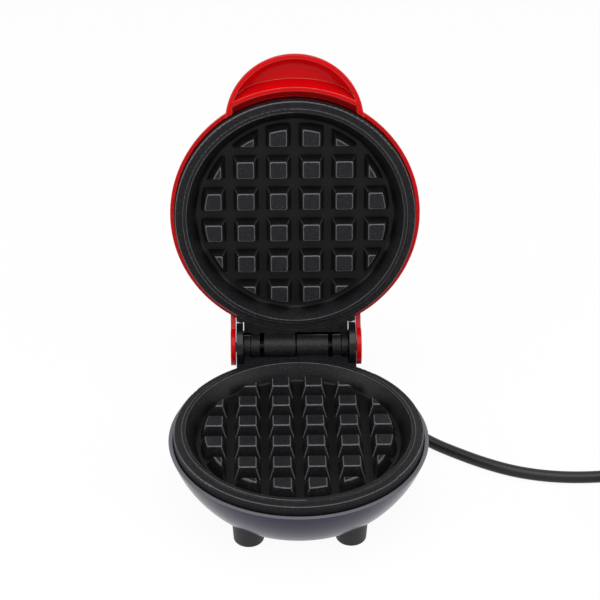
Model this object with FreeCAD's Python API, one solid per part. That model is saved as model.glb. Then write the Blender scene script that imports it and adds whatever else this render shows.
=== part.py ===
import FreeCAD, Part
import math
import os

# Driving dimensions in millimetres and degrees.
# Heights named _N are counted from a plate's outer ring, upwards out of its cooking face.

# Place of the base in the part's frame: the table is z = 0 and the front looks along -Y
BASE_AXIS_Y = -27.27
RING_Z = 41.5

# Cooking plate casting, the same for base and lid
PLATE_R = 60.5
PLATE_EDGE_ROUND = 0.8
PLATE_FLANK_N = -5.0
PLATE_UNDER_N = -10.8
PLATE_UNDER_INSET = 6.5
RING_WIDTH = 3.3
BEAD_WIDTH = 2.5
BEAD_TOP_WIDTH = 1.7
BEAD_RISE = 1.0
BEAD_ROUND = 0.5
POCKET_SLOPE = 4.7
POCKET_N = -7.3
POCKET_ROUND = 1.5

# Studs of the waffle grid
STUD_COUNT = 6
STUD_PITCH = 16.45
STUD_TOP = 8.6
STUD_FOOT = 12.5
STUD_TOP_N = -0.8
STUD_CORNER_ROUND = 1.0
STUD_BEVEL = 0.45
STUD_FIELD_GAP = 2.0
STUD_FIELD_SLOPE = 2.4

# Hinge, lying in the plane where the two plates would meet
PLATES_GAP = 3.0
HINGE_REACH = 8.2
LID_OPEN_DEG = 102.0
PIN_R = 2.5
PIN_RUNNING_GAP = 0.05
PIN_PRESS_GAP = 0.02
KNUCKLE_R = 6.0
KNUCKLE_WEB_TOP_N = -0.4
KNUCKLE_WEB_LOW_N = -4.5
KNUCKLE_SIDE_GAP = 0.4
FLANGE_HALF_X = 26.6
FLANGE_GAP = 1.0
MAIN_KNUCKLE = 16.0
MIDDLE_KNUCKLE_IN_X = 18.6
MIDDLE_KNUCKLE = 4.4
END_KNUCKLE = 3.2

# Bosses under a plate and what they carry
BOSS_INSET = 8.0
BOSS_R = 3.5
BOSS_COUNT = 3
BOSS_FIRST_DEG = 90.0
SCREW_R = 1.5
SCREW_FIT_GAP = 0.05
SCREW_PASS_GAP = 0.4
SCREW_HEAD_R = 3.0
SCREW_HEAD_H = 2.2
SCREW_BITE = 6.0
SCREW_SLOT = 1.2
SCREW_SLOT_SHARE = 0.33
SHIELD_TOP_N = -19.0
SHIELD_SHEET = 0.8
SHIELD_INSET = 12.0
SHIELD_LIP = 1.2
HEATER_R = 3.2
HEATER_INSET = 12.0
HEATER_LEG_SHORT = 2.0
HEATER_PIN_R = 1.5
HEATER_PIN = 10.0
SEAT_GAP = 0.15

# Thermostat and fuse under the lower plate
THERMOSTAT_R = 8.0
THERMOSTAT_H = 6.0
STRAP_LENGTH = 32.0
STRAP_WIDTH = 8.0
STRAP_SHEET = 0.8
STRAP_CORNER_ROUND = 2.6
STRAP_HOLE_X = 12.5
STRAP_BOSS_R = 2.6
STRAP_SCREW_R = 1.2
STRAP_SCREW_HEAD_R = 2.2
STRAP_SCREW_HEAD_H = 0.9
FUSE_R = 2.0
FUSE_LENGTH = 16.0
FUSE_INSET = 12.0

# Shells
SHELL_MARGIN = 2.5
SHELL_RIM_N = -5.0
SHELL_WALL = 2.0
BASE_BOTTOM_N = -30.0
BASE_WALL_LEAN = 14.4
BASE_BULGE = 1.7
BASE_BOTTOM_ROUND = 5.0
LID_TOP_N = -29.0
LID_SIDE_ROUND = 16.0

# Rear housing of the base, which carries the hinge
TAIL_HALF_X = 30.4
TAIL_FRONT = 28.7
TAIL_BACK = 10.3
TAIL_ROOF_N = -8.0
TAIL_BOTTOM_N = -28.5
TAIL_CORNER_ROUND = 5.0
CHEEK = 3.4
CHEEK_R = 12.5
CHEEK_GAP = 0.4
STOP_IN = 8.0
POST_RISE = 9.6
STOP_RISE = 3.4

# Lid handle and ears
HANDLE_R = 34.4
HANDLE_INSET = 14.8
HANDLE_RIM_N = -4.0
HANDLE_TOP_N = -13.5
HANDLE_FLOOR_N = -10.5
HANDLE_WALL = 2.2
HANDLE_ROUND = 8.0
HANDLE_HOLLOW_ROUND = 5.5
HANDLE_RIM_ROUND = 0.8
HANDLE_LIP = 3.2
HANDLE_LIP_DRAFT = 3.0
HANDLE_SLIT = 3.7
HANDLE_SLIT_N = -9.0
HANDLE_SLIT_SIDE = 3.6
EAR_GAP = 0.4
EAR = 2.6
EAR_R = 9.5
EAR_RUN = 26.0
EAR_SLOPE_DEG = 15.0
EAR_NECK_DEG = 200.0
EAR_ROOT = 20.7
EAR_RIM = 14.7

# Posts and press studs that hold the lid shell to its plate
POST_R = 4.0
STUD_COLLAR_R = 3.4
STUD_COLLAR_H = 1.8
STUD_PIN_R = 2.2
STUD_PIN_H = 3.2
STUD_PIN_GAP = 0.1
POST_END_GAP = 0.3

# Indicator on the lid
LENS_SET = 6.0
LENS_R = 3.5
LENS_GAP = 0.15
LENS_PROUD = 0.7
LENS_FLANGE_R = 5.0
LENS_FLANGE_H = 1.0
LENS_TIP_ROUND = 0.5
LAMP_R = 1.8

# Feet
FOOT_TOP_R = 8.0
FOOT_LOW_R = 7.3
FOOT_ROUND = 1.2
FOOT_FRONT_X = 24.5
FOOT_FRONT_INSET = 16.6
FOOT_REAR_X = 18.0
FOOT_REAR_SET = 8.7
FOOT_WELL_R = 3.8
FOOT_WELL = 5.0
FOOT_BOSS_H = 6.5

# Terminal block and wires
BLOCK_X = 24.0
BLOCK_Y = 12.0
BLOCK_H = 8.8
BLOCK_SET = 10.7
BLOCK_POLES = 3
BLOCK_WIRE_H = 5.9
BLOCK_LEAD_H = 6.6
WIRE_R = 1.0
WIRE_STUB = 4.0
WIRE_PIN_STUB = 7.0
WIRE_PAIR_X = 5.0
WIRE_PAIR_LID_X = 1.3
WIRE_RISE_SET = 20.7
LEAD_R = 1.6
LEAD_STUB = 4.0
LOOM_R = 2.6
LOOM_HOLE_GAP = 0.4
LOOM_N = -14.0
LOOM_STUB = 9.1
LOOM_BULGE = 13.6
LOOM_SAG = 5.2

# Cord gland and strain relief
GLAND_SET = 4.7
GLAND_N = -22.0
GLAND_TURN_DEG = -34.0
GLAND_TILT_DEG = 22.0
GLAND_R = 6.5
GLAND_IN = 5.0
GLAND_OUT = 5.0
RELIEF_SLEEVE_R = 4.5
RELIEF_SLEEVE_GAP = 0.1
RELIEF_ROOT_R = 6.2
RELIEF_COLLAR = 2.0
RELIEF_TIP_R = 4.0
RELIEF_LENGTH = 26.0

# Cord and its put-away coil, counted from the table under the gland
CORD_R = 3.0
CORD_FIRST_RUN = 11.5
CORD_ROUTE = [
    (39.5, -27.1, 3.3),
    (50.6, -35.0, 3.1),
    (63.1, -43.2, 3.1),
    (76.6, -50.1, 3.1),
    (91.1, -54.4, 3.1),
    (106.6, -56.2, 3.1),
    (123.1, -56.3, 3.6),
]
COIL_X = 159.6
COIL_Y = -91.6
COIL_R = 36.0
COIL_STEP = 6.6
COIL_TURNS = 3.0
COIL_CLIMB_TURNS = 0.5
COIL_LOW_Z = 4.8
COIL_END = 14.0
COIL_LEAD = 14.0
TIE_SHEET = 0.9
TIE_WIDTH = 9.0
TIE_GAP = 0.7
TIE_TURN = 0.5

# Plug
PLUG_NECK_R = 4.8
PLUG_NECK_TIP_R = 3.5
PLUG_NECK = 18.0
PLUG_LENGTH = 30.0
PLUG_WIDTH = 24.0
PLUG_BACK_WIDTH = 14.0
PLUG_ROUND = 3.0
PLUG_TABLE_GAP = 0.3
BLADE_PITCH = 12.7
BLADE_HIGH = 6.3
BLADE_THICK = 1.5
BLADE_LENGTH = 17.5
BLADE_SOCKET_DEPTH = 5.0

# Values worked out from the driving dimensions
PARTING_N = PLATES_GAP / 2
TABLE_N = -RING_Z
PLATE_UNDER_R = PLATE_R - PLATE_UNDER_INSET
BEAD_OUT_R = PLATE_R - RING_WIDTH
BEAD_IN_R = BEAD_OUT_R - BEAD_WIDTH
POCKET_R = BEAD_IN_R - POCKET_SLOPE
STUD_FIELD_FOOT_R = POCKET_R - STUD_FIELD_GAP
STUD_FIELD_TOP_R = STUD_FIELD_FOOT_R - STUD_FIELD_SLOPE
HINGE_Y = PLATE_R + HINGE_REACH
SHIELD_R = PLATE_UNDER_R - SHIELD_INSET
HEATER_BEND_R = SHIELD_R - HEATER_INSET
HEATER_LEG = HEATER_BEND_R - HEATER_LEG_SHORT
BOSS_CIRCLE_R = HEATER_BEND_R - BOSS_INSET
FUSE_Y = FUSE_INSET - HEATER_BEND_R
LENS_Y = -BOSS_CIRCLE_R - LENS_SET
SHELL_R = PLATE_R + SHELL_MARGIN
BASE_BOTTOM_R = SHELL_R - BASE_WALL_LEAN
TAIL_FRONT_Y = HINGE_Y - TAIL_FRONT
HANDLE_Y = HANDLE_INSET - SHELL_R
HANDLE_LIP_R = SHELL_R + HANDLE_LIP
HANDLE_SLIT_R = PLATE_R + HANDLE_SLIT
EAR_ROOT_Y = HINGE_Y - EAR_ROOT
EAR_RIM_Y = HINGE_Y - EAR_RIM
FOOT_FRONT_Y = FOOT_FRONT_INSET - BASE_BOTTOM_R
FOOT_REAR_Y = HINGE_Y - FOOT_REAR_SET
BLOCK_FRONT_Y = HINGE_Y - BLOCK_SET
WIRE_RISE_Y = HINGE_Y - WIRE_RISE_SET
GLAND_Y = HINGE_Y - GLAND_SET
SHIELD_LOW_N = SHIELD_TOP_N - SHIELD_SHEET
HEATER_N = PLATE_UNDER_N - SEAT_GAP - HEATER_R
BASE_FLOOR_N = BASE_BOTTOM_N + SHELL_WALL
STRAP_TOP_N = PLATE_UNDER_N - SEAT_GAP - THERMOSTAT_H
TAIL_BACK_Y = HINGE_Y + TAIL_BACK
TAIL_FLOOR_N = TAIL_BOTTOM_N + SHELL_WALL
EAR_IN_X = TAIL_HALF_X + EAR_GAP
EAR_OUT_X = EAR_IN_X + EAR
SPARE = 1.0
NEAR = 1e-4
ARC_SHARE = 0.45
WHOLE_TURN = 360.0
HALF_TURN = 180.0
QUARTER_TURN = 90.0

X_AXIS = FreeCAD.Vector(1, 0, 0)
Y_AXIS = FreeCAD.Vector(0, 1, 0)
Z_AXIS = FreeCAD.Vector(0, 0, 1)


def vec(x, y, z):
    """A vector, short to write."""
    return FreeCAD.Vector(x, y, z)


def unit(vector):
    """The vector's direction."""
    return vector * (1 / vector.Length)


def joined(shapes):
    """One shape out of several that overlap."""
    return shapes[0].multiFuse(shapes[1:]).removeSplitter()


def drum(radius, low, high, x=0.0, y=0.0):
    """An upright cylinder between two heights."""
    return Part.makeCylinder(radius, high - low, vec(x, y, low))


def rod(radius, start, end):
    """A cylinder from one point to another."""
    return Part.makeCylinder(radius, (end - start).Length, start, end - start)


def block(x0, x1, y0, y1, z0, z1):
    """A box between its limits."""
    return Part.makeBox(x1 - x0, y1 - y0, z1 - z0, vec(x0, y0, z0))


def slab_yz(outline, x0, x1):
    """A plate of even thickness along X, from an outline of (y, n) points."""
    points = [vec(x0, y, n) for y, n in outline + outline[:1]]
    return Part.Face(Part.makePolygon(points)).extrude(vec(x1 - x0, 0, 0))


def turned(steps):
    """A solid turned about Z from (r, n) points; a step of two points is an arc through the first."""
    edges = []
    here = steps[0]
    for step in steps[1:] + steps[:1]:
        through, there = step if isinstance(step[0], tuple) else (None, step)
        start = vec(here[0], 0, here[1])
        end = vec(there[0], 0, there[1])
        if through:
            edges.append(Part.Arc(start, vec(through[0], 0, through[1]), end).toShape())
        else:
            edges.append(Part.LineSegment(start, end).toShape())
        here = there
    return Part.Face(Part.Wire(edges)).revolve(vec(0, 0, 0), Z_AXIS, WHOLE_TURN)


def ring_edges(shape, radius, height):
    """The circular edges of a shape about Z with this radius and height."""
    rings = [e for e in shape.Edges if isinstance(e.Curve, Part.Circle)]
    return [e for e in rings if abs(e.Curve.Radius - radius) < NEAR and abs(e.Curve.Center.z - height) < NEAR]


def level_edges(shape, height):
    """The edges of a shape that lie at one height."""
    return [e for e in shape.Edges if max(abs(v.Z - height) for v in e.Vertexes) < NEAR]


def edges_along(shape, axis):
    """The straight edges of a shape that run along an axis."""
    lines = [e for e in shape.Edges if isinstance(e.Curve, Part.Line)]
    return [e for e in lines if abs(abs(e.Curve.Direction.dot(axis)) - 1) < NEAR]


def arc_between(start, corner, end):
    """The arc that touches both legs of a corner at its two ends."""
    middle = (start + end) * 0.5
    half_chord = (end - start).Length / 2
    half_turn = math.acos(min(1.0, half_chord / (corner - start).Length))
    top = middle + unit(corner - middle) * (half_chord * math.tan(half_turn / 2))
    return Part.Arc(start, top, end).toShape()


def rounded_path(points):
    """Straight runs joined by tangent arcs that take a share of the shorter run, with the arcs' radii."""
    edges = []
    radii = []
    here = points[0]
    for before, corner, after in zip(points, points[1:], points[2:]):
        reach = ARC_SHARE * min((corner - before).Length, (after - corner).Length)
        into = unit(corner - before)
        out = unit(after - corner)
        half_turn = into.getAngle(out) / 2
        start = corner - into * reach
        end = corner + out * reach
        edges.append(Part.LineSegment(here, start).toShape())
        edges.append(arc_between(start, corner, end))
        radii.append(reach / math.tan(half_turn))
        here = end
    edges.append(Part.LineSegment(here, points[-1]).toShape())
    return Part.Wire(edges), radii


def tube(path, radius, start, heading):
    """A round tube along a path."""
    ring = Part.Wire(Part.makeCircle(radius, start, heading))
    return path.makePipeShell([ring], True, False)


def wire_tube(points, radius):
    """A round wire through points, with rounded corners."""
    path = rounded_path(points)[0]
    return tube(path, radius, points[0], points[1] - points[0])


def biarc(start, heading, end, far_heading):
    """Two arcs that join two points with the given headings."""
    span = end - start
    both = heading + far_heading
    a = 2 * (heading.dot(far_heading) - 1)
    b = -2 * span.dot(both)
    c = span.dot(span)
    reach = (-b - math.sqrt(b * b - 4 * a * c)) / (2 * a)
    near_corner = start + heading * reach
    far_corner = end - far_heading * reach
    joint = (near_corner + far_corner) * 0.5
    return [arc_between(start, near_corner, joint), arc_between(joint, far_corner, end)]


def boss_places():
    """The places of the bosses under a plate."""
    angles = [math.radians(BOSS_FIRST_DEG + WHOLE_TURN * i / BOSS_COUNT) for i in range(BOSS_COUNT)]
    return [(BOSS_CIRCLE_R * math.cos(a), BOSS_CIRCLE_R * math.sin(a)) for a in angles]


def strap_places():
    """The places of the two thermostat strap screws."""
    return [(-STRAP_HOLE_X, 0.0), (STRAP_HOLE_X, 0.0)]


def foot_places():
    """Each foot's name, its place and the height of the face it is screwed to."""
    return {
        "front_left_foot": (-FOOT_FRONT_X, FOOT_FRONT_Y, BASE_BOTTOM_N),
        "front_right_foot": (FOOT_FRONT_X, FOOT_FRONT_Y, BASE_BOTTOM_N),
        "rear_left_foot": (-FOOT_REAR_X, FOOT_REAR_Y, TAIL_BOTTOM_N),
        "rear_right_foot": (FOOT_REAR_X, FOOT_REAR_Y, TAIL_BOTTOM_N),
    }


def hinge_rod(radius, x0, x1):
    """A cylinder on the hinge line."""
    return rod(radius, vec(x0, HINGE_Y, PARTING_N), vec(x1, HINGE_Y, PARTING_N))


def on_base(shape):
    """A shape of the plate's frame, put at its place in the base."""
    moved = shape.copy()
    moved.translate(vec(0, BASE_AXIS_Y, RING_Z))
    return moved


def on_lid(shape):
    """A shape of the plate's frame, turned over onto the lid and opened about the hinge."""
    moved = shape.copy()
    moved.rotate(vec(0, 0, PARTING_N), Y_AXIS, HALF_TURN)
    moved.rotate(vec(0, HINGE_Y, PARTING_N), X_AXIS, -LID_OPEN_DEG)
    moved.translate(vec(0, BASE_AXIS_Y, RING_Z))
    return moved


def round_square(x, y, size, level):
    """A level square outline with round corners about a place."""
    h = size / 2
    inner = h - STUD_CORNER_ROUND
    edges = []
    for i in range(4):
        angle = math.radians(QUARTER_TURN * i)
        cos, sin = round(math.cos(angle)), round(math.sin(angle))
        diagonal = STUD_CORNER_ROUND * math.sqrt(0.5)
        ends = []
        for a, b in ((h, -inner), (h, inner), (inner + diagonal, inner + diagonal), (inner, h)):
            ends.append(vec(x + a * cos - b * sin, y + a * sin + b * cos, level))
        edges.append(Part.LineSegment(ends[0], ends[1]).toShape())
        edges.append(Part.Arc(ends[1], ends[2], ends[3]).toShape())
    return Part.Wire(edges)


def stud(x, y):
    """One square stud of the grid, with a bevelled top, cut by the round field where it reaches past it."""
    shoulder = STUD_TOP_N - STUD_BEVEL
    flat = STUD_TOP - 2 * STUD_BEVEL
    levels = ((STUD_FOOT, POCKET_N), (STUD_TOP, shoulder), (flat, STUD_TOP_N))
    body = Part.makeLoft([round_square(x, y, size, level) for size, level in levels], True, True)
    if math.hypot(abs(x) + STUD_TOP / 2, abs(y) + STUD_TOP / 2) < STUD_FIELD_TOP_R:
        return body
    field = turned([
        (0, POCKET_N),
        (STUD_FIELD_FOOT_R, POCKET_N),
        (STUD_FIELD_TOP_R, shoulder),
        (STUD_FIELD_TOP_R - STUD_BEVEL, STUD_TOP_N),
        (0, STUD_TOP_N),
    ])
    return body.common(field)


def stud_grid():
    """All studs whose middle lies near enough to the round field to leave a body."""
    half = (STUD_COUNT - 1) / 2
    places = [(i - half) * STUD_PITCH for i in range(STUD_COUNT)]
    reach = STUD_FIELD_TOP_R + STUD_TOP / 2
    return [stud(x, y) for x in places for y in places if math.hypot(x, y) < reach]


def hinge_flange():
    """The flange that carries the knuckles, with shoulders that end short of the cheeks of the base."""
    low_n = KNUCKLE_WEB_LOW_N
    top_n = KNUCKLE_WEB_TOP_N
    tongue = block(-FLANGE_HALF_X, FLANGE_HALF_X, 0, HINGE_Y - KNUCKLE_R - FLANGE_GAP, low_n, top_n)
    shoulders = block(-TAIL_HALF_X, TAIL_HALF_X, 0, HINGE_Y - CHEEK_R - CHEEK_GAP, low_n, top_n)
    return tongue.fuse(shoulders).cut(drum(BEAD_OUT_R, low_n, top_n))


def knuckle(x0, x1):
    """One hinge knuckle with the web that joins it to the flange."""
    root_y = HINGE_Y - KNUCKLE_R - FLANGE_GAP
    web = block(x0, x1, root_y, HINGE_Y, KNUCKLE_WEB_LOW_N, KNUCKLE_WEB_TOP_N)
    return hinge_rod(KNUCKLE_R, x0, x1).fuse(web)


def plate():
    """A cooking plate: pocket, bead, flank, studs, bosses and its half of the hinge."""
    bead_top_r = BEAD_IN_R + BEAD_TOP_WIDTH
    body = turned([
        (0, POCKET_N),
        (POCKET_R, POCKET_N),
        (BEAD_IN_R, BEAD_RISE),
        (bead_top_r, BEAD_RISE),
        (BEAD_OUT_R, 0),
        (PLATE_R, 0),
        (PLATE_R, PLATE_FLANK_N),
        (PLATE_UNDER_R, PLATE_UNDER_N),
        (0, PLATE_UNDER_N),
    ])
    body = body.makeFillet(POCKET_ROUND, ring_edges(body, POCKET_R, POCKET_N))
    body = body.makeFillet(PLATE_EDGE_ROUND, ring_edges(body, PLATE_R, 0))
    beads = ring_edges(body, BEAD_IN_R, BEAD_RISE) + ring_edges(body, bead_top_r, BEAD_RISE)
    body = body.makeFillet(BEAD_ROUND, beads)
    main_x = KNUCKLE_SIDE_GAP
    middle_x = MIDDLE_KNUCKLE_IN_X
    end_x = middle_x + MIDDLE_KNUCKLE + KNUCKLE_SIDE_GAP
    adds = stud_grid()
    adds.append(hinge_flange())
    adds.append(knuckle(main_x, main_x + MAIN_KNUCKLE))
    adds.append(knuckle(middle_x, middle_x + MIDDLE_KNUCKLE))
    adds.append(knuckle(-end_x - END_KNUCKLE, -end_x))
    adds += [drum(BOSS_R, SHIELD_TOP_N, PLATE_UNDER_N, x, y) for x, y in boss_places()]
    adds += [drum(STRAP_BOSS_R, STRAP_TOP_N, PLATE_UNDER_N, x, y) for x, y in strap_places()]
    body = joined([body] + adds)
    cuts = [hinge_rod(PIN_R + PIN_RUNNING_GAP, -SHELL_R, SHELL_R)]
    hole_top = SHIELD_TOP_N + SCREW_BITE + SPARE
    for x, y in boss_places():
        cuts.append(drum(SCREW_R + SCREW_FIT_GAP, SHIELD_TOP_N - SPARE, hole_top, x, y))
    for x, y in strap_places():
        cuts.append(drum(STRAP_SCREW_R + SCREW_FIT_GAP, STRAP_TOP_N - SPARE, PLATE_UNDER_N, x, y))
    return body.cut(Part.makeCompound(cuts))


def heater():
    """A tubular heater bent to a horseshoe, with a thin terminal pin at each end."""
    r = HEATER_BEND_R
    left_end = vec(-r, HEATER_LEG, HEATER_N)
    right_end = vec(r, HEATER_LEG, HEATER_N)
    left = vec(-r, 0, HEATER_N)
    right = vec(r, 0, HEATER_N)
    path = Part.Wire([
        Part.LineSegment(left_end, left).toShape(),
        Part.Arc(left, vec(0, -r, HEATER_N), right).toShape(),
        Part.LineSegment(right, right_end).toShape(),
    ])
    body = tube(path, HEATER_R, left_end, -Y_AXIS)
    pins = [rod(HEATER_PIN_R, end, end + Y_AXIS * HEATER_PIN) for end in (left_end, right_end)]
    return joined([body] + pins)


def heat_shield():
    """A thin dish under the heater, held between the plate's bosses and the shell's posts."""
    inner_r = SHIELD_R - SHIELD_SHEET
    body = turned([
        (0, SHIELD_LOW_N),
        (SHIELD_R, SHIELD_LOW_N),
        (SHIELD_R, SHIELD_TOP_N + SHIELD_LIP),
        (inner_r, SHIELD_TOP_N + SHIELD_LIP),
        (inner_r, SHIELD_TOP_N),
        (0, SHIELD_TOP_N),
    ])
    holes = []
    for x, y in boss_places():
        holes.append(drum(SCREW_R + SCREW_PASS_GAP, SHIELD_LOW_N - SPARE, SHIELD_TOP_N + SPARE, x, y))
    return body.cut(Part.makeCompound(holes))


def bowl(offset, top_n):
    """The base's bowl, drawn in by an offset: a flat bottom and a wall that swells between two edges."""
    low_r = BASE_BOTTOM_R - offset
    rim_r = SHELL_R - offset
    low_n = BASE_BOTTOM_N + offset
    lean = math.hypot(rim_r - low_r, SHELL_RIM_N - low_n)
    swell_r = (low_r + rim_r) / 2 + BASE_BULGE * (SHELL_RIM_N - low_n) / lean
    swell_n = (low_n + SHELL_RIM_N) / 2 - BASE_BULGE * (rim_r - low_r) / lean
    steps = [(0, low_n), (low_r, low_n), ((swell_r, swell_n), (rim_r, SHELL_RIM_N))]
    if top_n > SHELL_RIM_N:
        steps.append((rim_r, top_n))
    body = turned(steps + [(0, top_n)])
    return body.makeFillet(BASE_BOTTOM_ROUND - offset, ring_edges(body, low_r, low_n))


def tail(offset, roof_n):
    """The rear housing up to a roof, drawn in by an offset."""
    half = TAIL_HALF_X - offset
    back = TAIL_BACK_Y - offset
    body = block(-half, half, TAIL_FRONT_Y, back, TAIL_BOTTOM_N + offset, roof_n - offset)
    corners = [e for e in edges_along(body, Z_AXIS) if e.Vertexes[0].Y > back - offset - SPARE / 2]
    return body.makeFillet(TAIL_CORNER_ROUND - offset, corners)


def gland_axis():
    """The gland's middle on the housing's wall, and the way the cord leaves it."""
    turn = math.radians(GLAND_TURN_DEG)
    tilt = math.radians(GLAND_TILT_DEG)
    flat = math.cos(tilt)
    out = vec(flat * math.cos(turn), flat * math.sin(turn), -math.sin(tilt))
    return vec(TAIL_HALF_X, GLAND_Y, GLAND_N), out


def base_shell():
    """The bowl with its rear housing, hinge cheeks, lid stop, cord gland and screw posts."""
    stop_top = PARTING_N + STOP_RISE
    stop_low = TAIL_ROOF_N - SHELL_WALL
    rises = [block(-TAIL_HALF_X, TAIL_HALF_X, HINGE_Y + STOP_IN, TAIL_BACK_Y, stop_low, stop_top)]
    for side in (-1, 1):
        x0, x1 = sorted((side * (TAIL_HALF_X - CHEEK), side * TAIL_HALF_X))
        rises.append(hinge_rod(CHEEK_R, x0, x1))
        rises.append(block(x0, x1, HINGE_Y + STOP_IN, TAIL_BACK_Y, stop_low, PARTING_N + POST_RISE))
    outline = tail(0, PARTING_N + CHEEK_R + SPARE)
    body = joined([bowl(0, SHELL_RIM_N), tail(0, TAIL_ROOF_N)] + [rise.common(outline) for rise in rises])
    body = body.cut(bowl(SHELL_WALL, SHELL_RIM_N + SPARE)).cut(tail(SHELL_WALL, TAIL_ROOF_N))
    middle, out = gland_axis()
    inner_end = middle - out * GLAND_IN
    outer_end = middle + out * GLAND_OUT
    inside = [rod(GLAND_R, inner_end, outer_end)]
    for x, y in boss_places():
        inside.append(drum(POST_R, BASE_BOTTOM_N, SHIELD_LOW_N, x, y))
    for x, y, seat in foot_places().values():
        inside.append(drum(BOSS_R, seat, seat + SHELL_WALL + FOOT_BOSS_H, x, y))
    body = joined([body] + inside)
    cuts = [hinge_rod(PIN_R + PIN_PRESS_GAP, -SHELL_R, SHELL_R)]
    cuts.append(rod(RELIEF_SLEEVE_R + RELIEF_SLEEVE_GAP, inner_end - out * SPARE, outer_end + out * SPARE))
    loom_in = vec(0, TAIL_BACK_Y - SHELL_WALL * 2, LOOM_N)
    loom_out = vec(0, TAIL_BACK_Y + SPARE, LOOM_N)
    cuts.append(rod(LOOM_R + LOOM_HOLE_GAP, loom_in, loom_out))
    head_seat = BASE_FLOOR_N + SHELL_WALL
    for x, y in boss_places():
        cuts.append(drum(SCREW_R + SCREW_PASS_GAP, BASE_BOTTOM_N, SHIELD_LOW_N + SPARE, x, y))
        cuts.append(drum(SCREW_HEAD_R + SCREW_PASS_GAP, BASE_BOTTOM_N - SPARE, head_seat, x, y))
    for x, y, seat in foot_places().values():
        cuts.append(drum(SCREW_R + SCREW_FIT_GAP, seat - SPARE, seat + SCREW_BITE + SPARE, x, y))
    for cut in cuts:
        body = body.cut(cut)
    return body


def foot(x, y, seat):
    """A tapered foot with a well for its screw."""
    height = seat - TABLE_N
    body = Part.makeCone(FOOT_LOW_R, FOOT_TOP_R, height, vec(x, y, TABLE_N))
    body = body.makeFillet(FOOT_ROUND, level_edges(body, TABLE_N))
    body = body.cut(drum(FOOT_WELL_R, TABLE_N - SPARE, TABLE_N + FOOT_WELL, x, y))
    return body.cut(drum(SCREW_R + SCREW_PASS_GAP, TABLE_N, seat + SPARE, x, y))


def screw(x, y, seat_n, tip_n, radius, head_r, head_h):
    """A pan head screw that points up from its seat, with a cross-cut drive."""
    slot_width = head_r * SCREW_SLOT_SHARE
    slot_length = head_r * SCREW_SLOT
    slot_depth = head_h / 2
    head = drum(head_r, seat_n - head_h, seat_n, x, y)
    head = head.makeFillet(head_h * SCREW_SLOT_SHARE, level_edges(head, seat_n - head_h))
    low = seat_n - head_h - SPARE
    for wide, deep in ((slot_length, slot_width), (slot_width, slot_length)):
        cut = block(x - wide / 2, x + wide / 2, y - deep / 2, y + deep / 2, low, low + SPARE + slot_depth)
        head = head.cut(cut)
    return head.fuse(drum(radius, seat_n, tip_n, x, y))


def base_screws():
    """The screws that pull the lower plate down onto the base shell."""
    seat = BASE_FLOOR_N + SHELL_WALL
    tip = SHIELD_TOP_N + SCREW_BITE
    return [screw(x, y, seat, tip, SCREW_R, SCREW_HEAD_R, SCREW_HEAD_H) for x, y in boss_places()]


def foot_screws():
    """The screws that hold the feet."""
    low = TABLE_N + FOOT_WELL
    sizes = (SCREW_R, SCREW_HEAD_R, SCREW_HEAD_H)
    return [screw(x, y, low, seat + SCREW_BITE, *sizes) for x, y, seat in foot_places().values()]


def strap_screws():
    """The screws that hold the thermostat strap."""
    seat = STRAP_TOP_N - STRAP_SHEET
    tip = PLATE_UNDER_N - SEAT_GAP
    sizes = (STRAP_SCREW_R, STRAP_SCREW_HEAD_R, STRAP_SCREW_HEAD_H)
    return [screw(x, y, seat, tip, *sizes) for x, y in strap_places()]


def thermostat_strap():
    """A flat strap that presses the thermostat against the plate."""
    half = STRAP_LENGTH / 2
    body = block(-half, half, -STRAP_WIDTH / 2, STRAP_WIDTH / 2, STRAP_TOP_N - STRAP_SHEET, STRAP_TOP_N)
    body = body.makeFillet(STRAP_CORNER_ROUND, edges_along(body, Z_AXIS))
    for x, y in strap_places():
        low = STRAP_TOP_N - STRAP_SHEET - SPARE
        body = body.cut(drum(STRAP_SCREW_R + SEAT_GAP, low, STRAP_TOP_N + SPARE, x, y))
    return body


def thermostat():
    """A round snap-disc thermostat."""
    top = PLATE_UNDER_N - SEAT_GAP
    return drum(THERMOSTAT_R, top - THERMOSTAT_H, top)


def thermal_fuse():
    """A thermal fuse lying along X under the plate."""
    level = PLATE_UNDER_N - SEAT_GAP - FUSE_R
    half = FUSE_LENGTH / 2
    return rod(FUSE_R, vec(-half, FUSE_Y, level), vec(half, FUSE_Y, level))


def terminal_block():
    """A moulded terminal block on the floor of the rear housing, with its screw wells."""
    half = BLOCK_X / 2
    back = BLOCK_FRONT_Y + BLOCK_Y
    top = TAIL_FLOOR_N + BLOCK_H
    body = block(-half, half, BLOCK_FRONT_Y, back, TAIL_FLOOR_N, top)
    for i in range(BLOCK_POLES):
        x = (i - (BLOCK_POLES - 1) / 2) * BLOCK_X / BLOCK_POLES
        body = body.cut(drum(SCREW_R, top - BLOCK_H / 2, top + SPARE, x, BLOCK_FRONT_Y + BLOCK_Y / 2))
    return body


def pin_tip(side):
    """The free end of a heater's terminal pin."""
    return vec(side * HEATER_BEND_R, HEATER_LEG + HEATER_PIN + SEAT_GAP, HEATER_N)


def base_wires():
    """The two leads from the terminal block up to the lower heater."""
    wires = []
    for side in (-1, 1):
        tip = pin_tip(side)
        low = TAIL_FLOOR_N + BLOCK_WIRE_H
        start = vec(side * WIRE_PAIR_X, BLOCK_FRONT_Y - SEAT_GAP, low)
        lead = start - Y_AXIS * WIRE_STUB
        rise = vec(side * WIRE_PAIR_X * 2, WIRE_RISE_Y, (low + HEATER_N) / 2)
        turn = tip + Y_AXIS * WIRE_PIN_STUB
        wires.append(wire_tube([start, lead, rise, turn, tip], WIRE_R))
    return wires


def loom_door():
    """The place on the lid's rear wall where the loom goes in, in the plate's frame."""
    level = SHELL_RIM_N - LID_SIDE_ROUND / 2
    return level, dome_radius(0, level)


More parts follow.
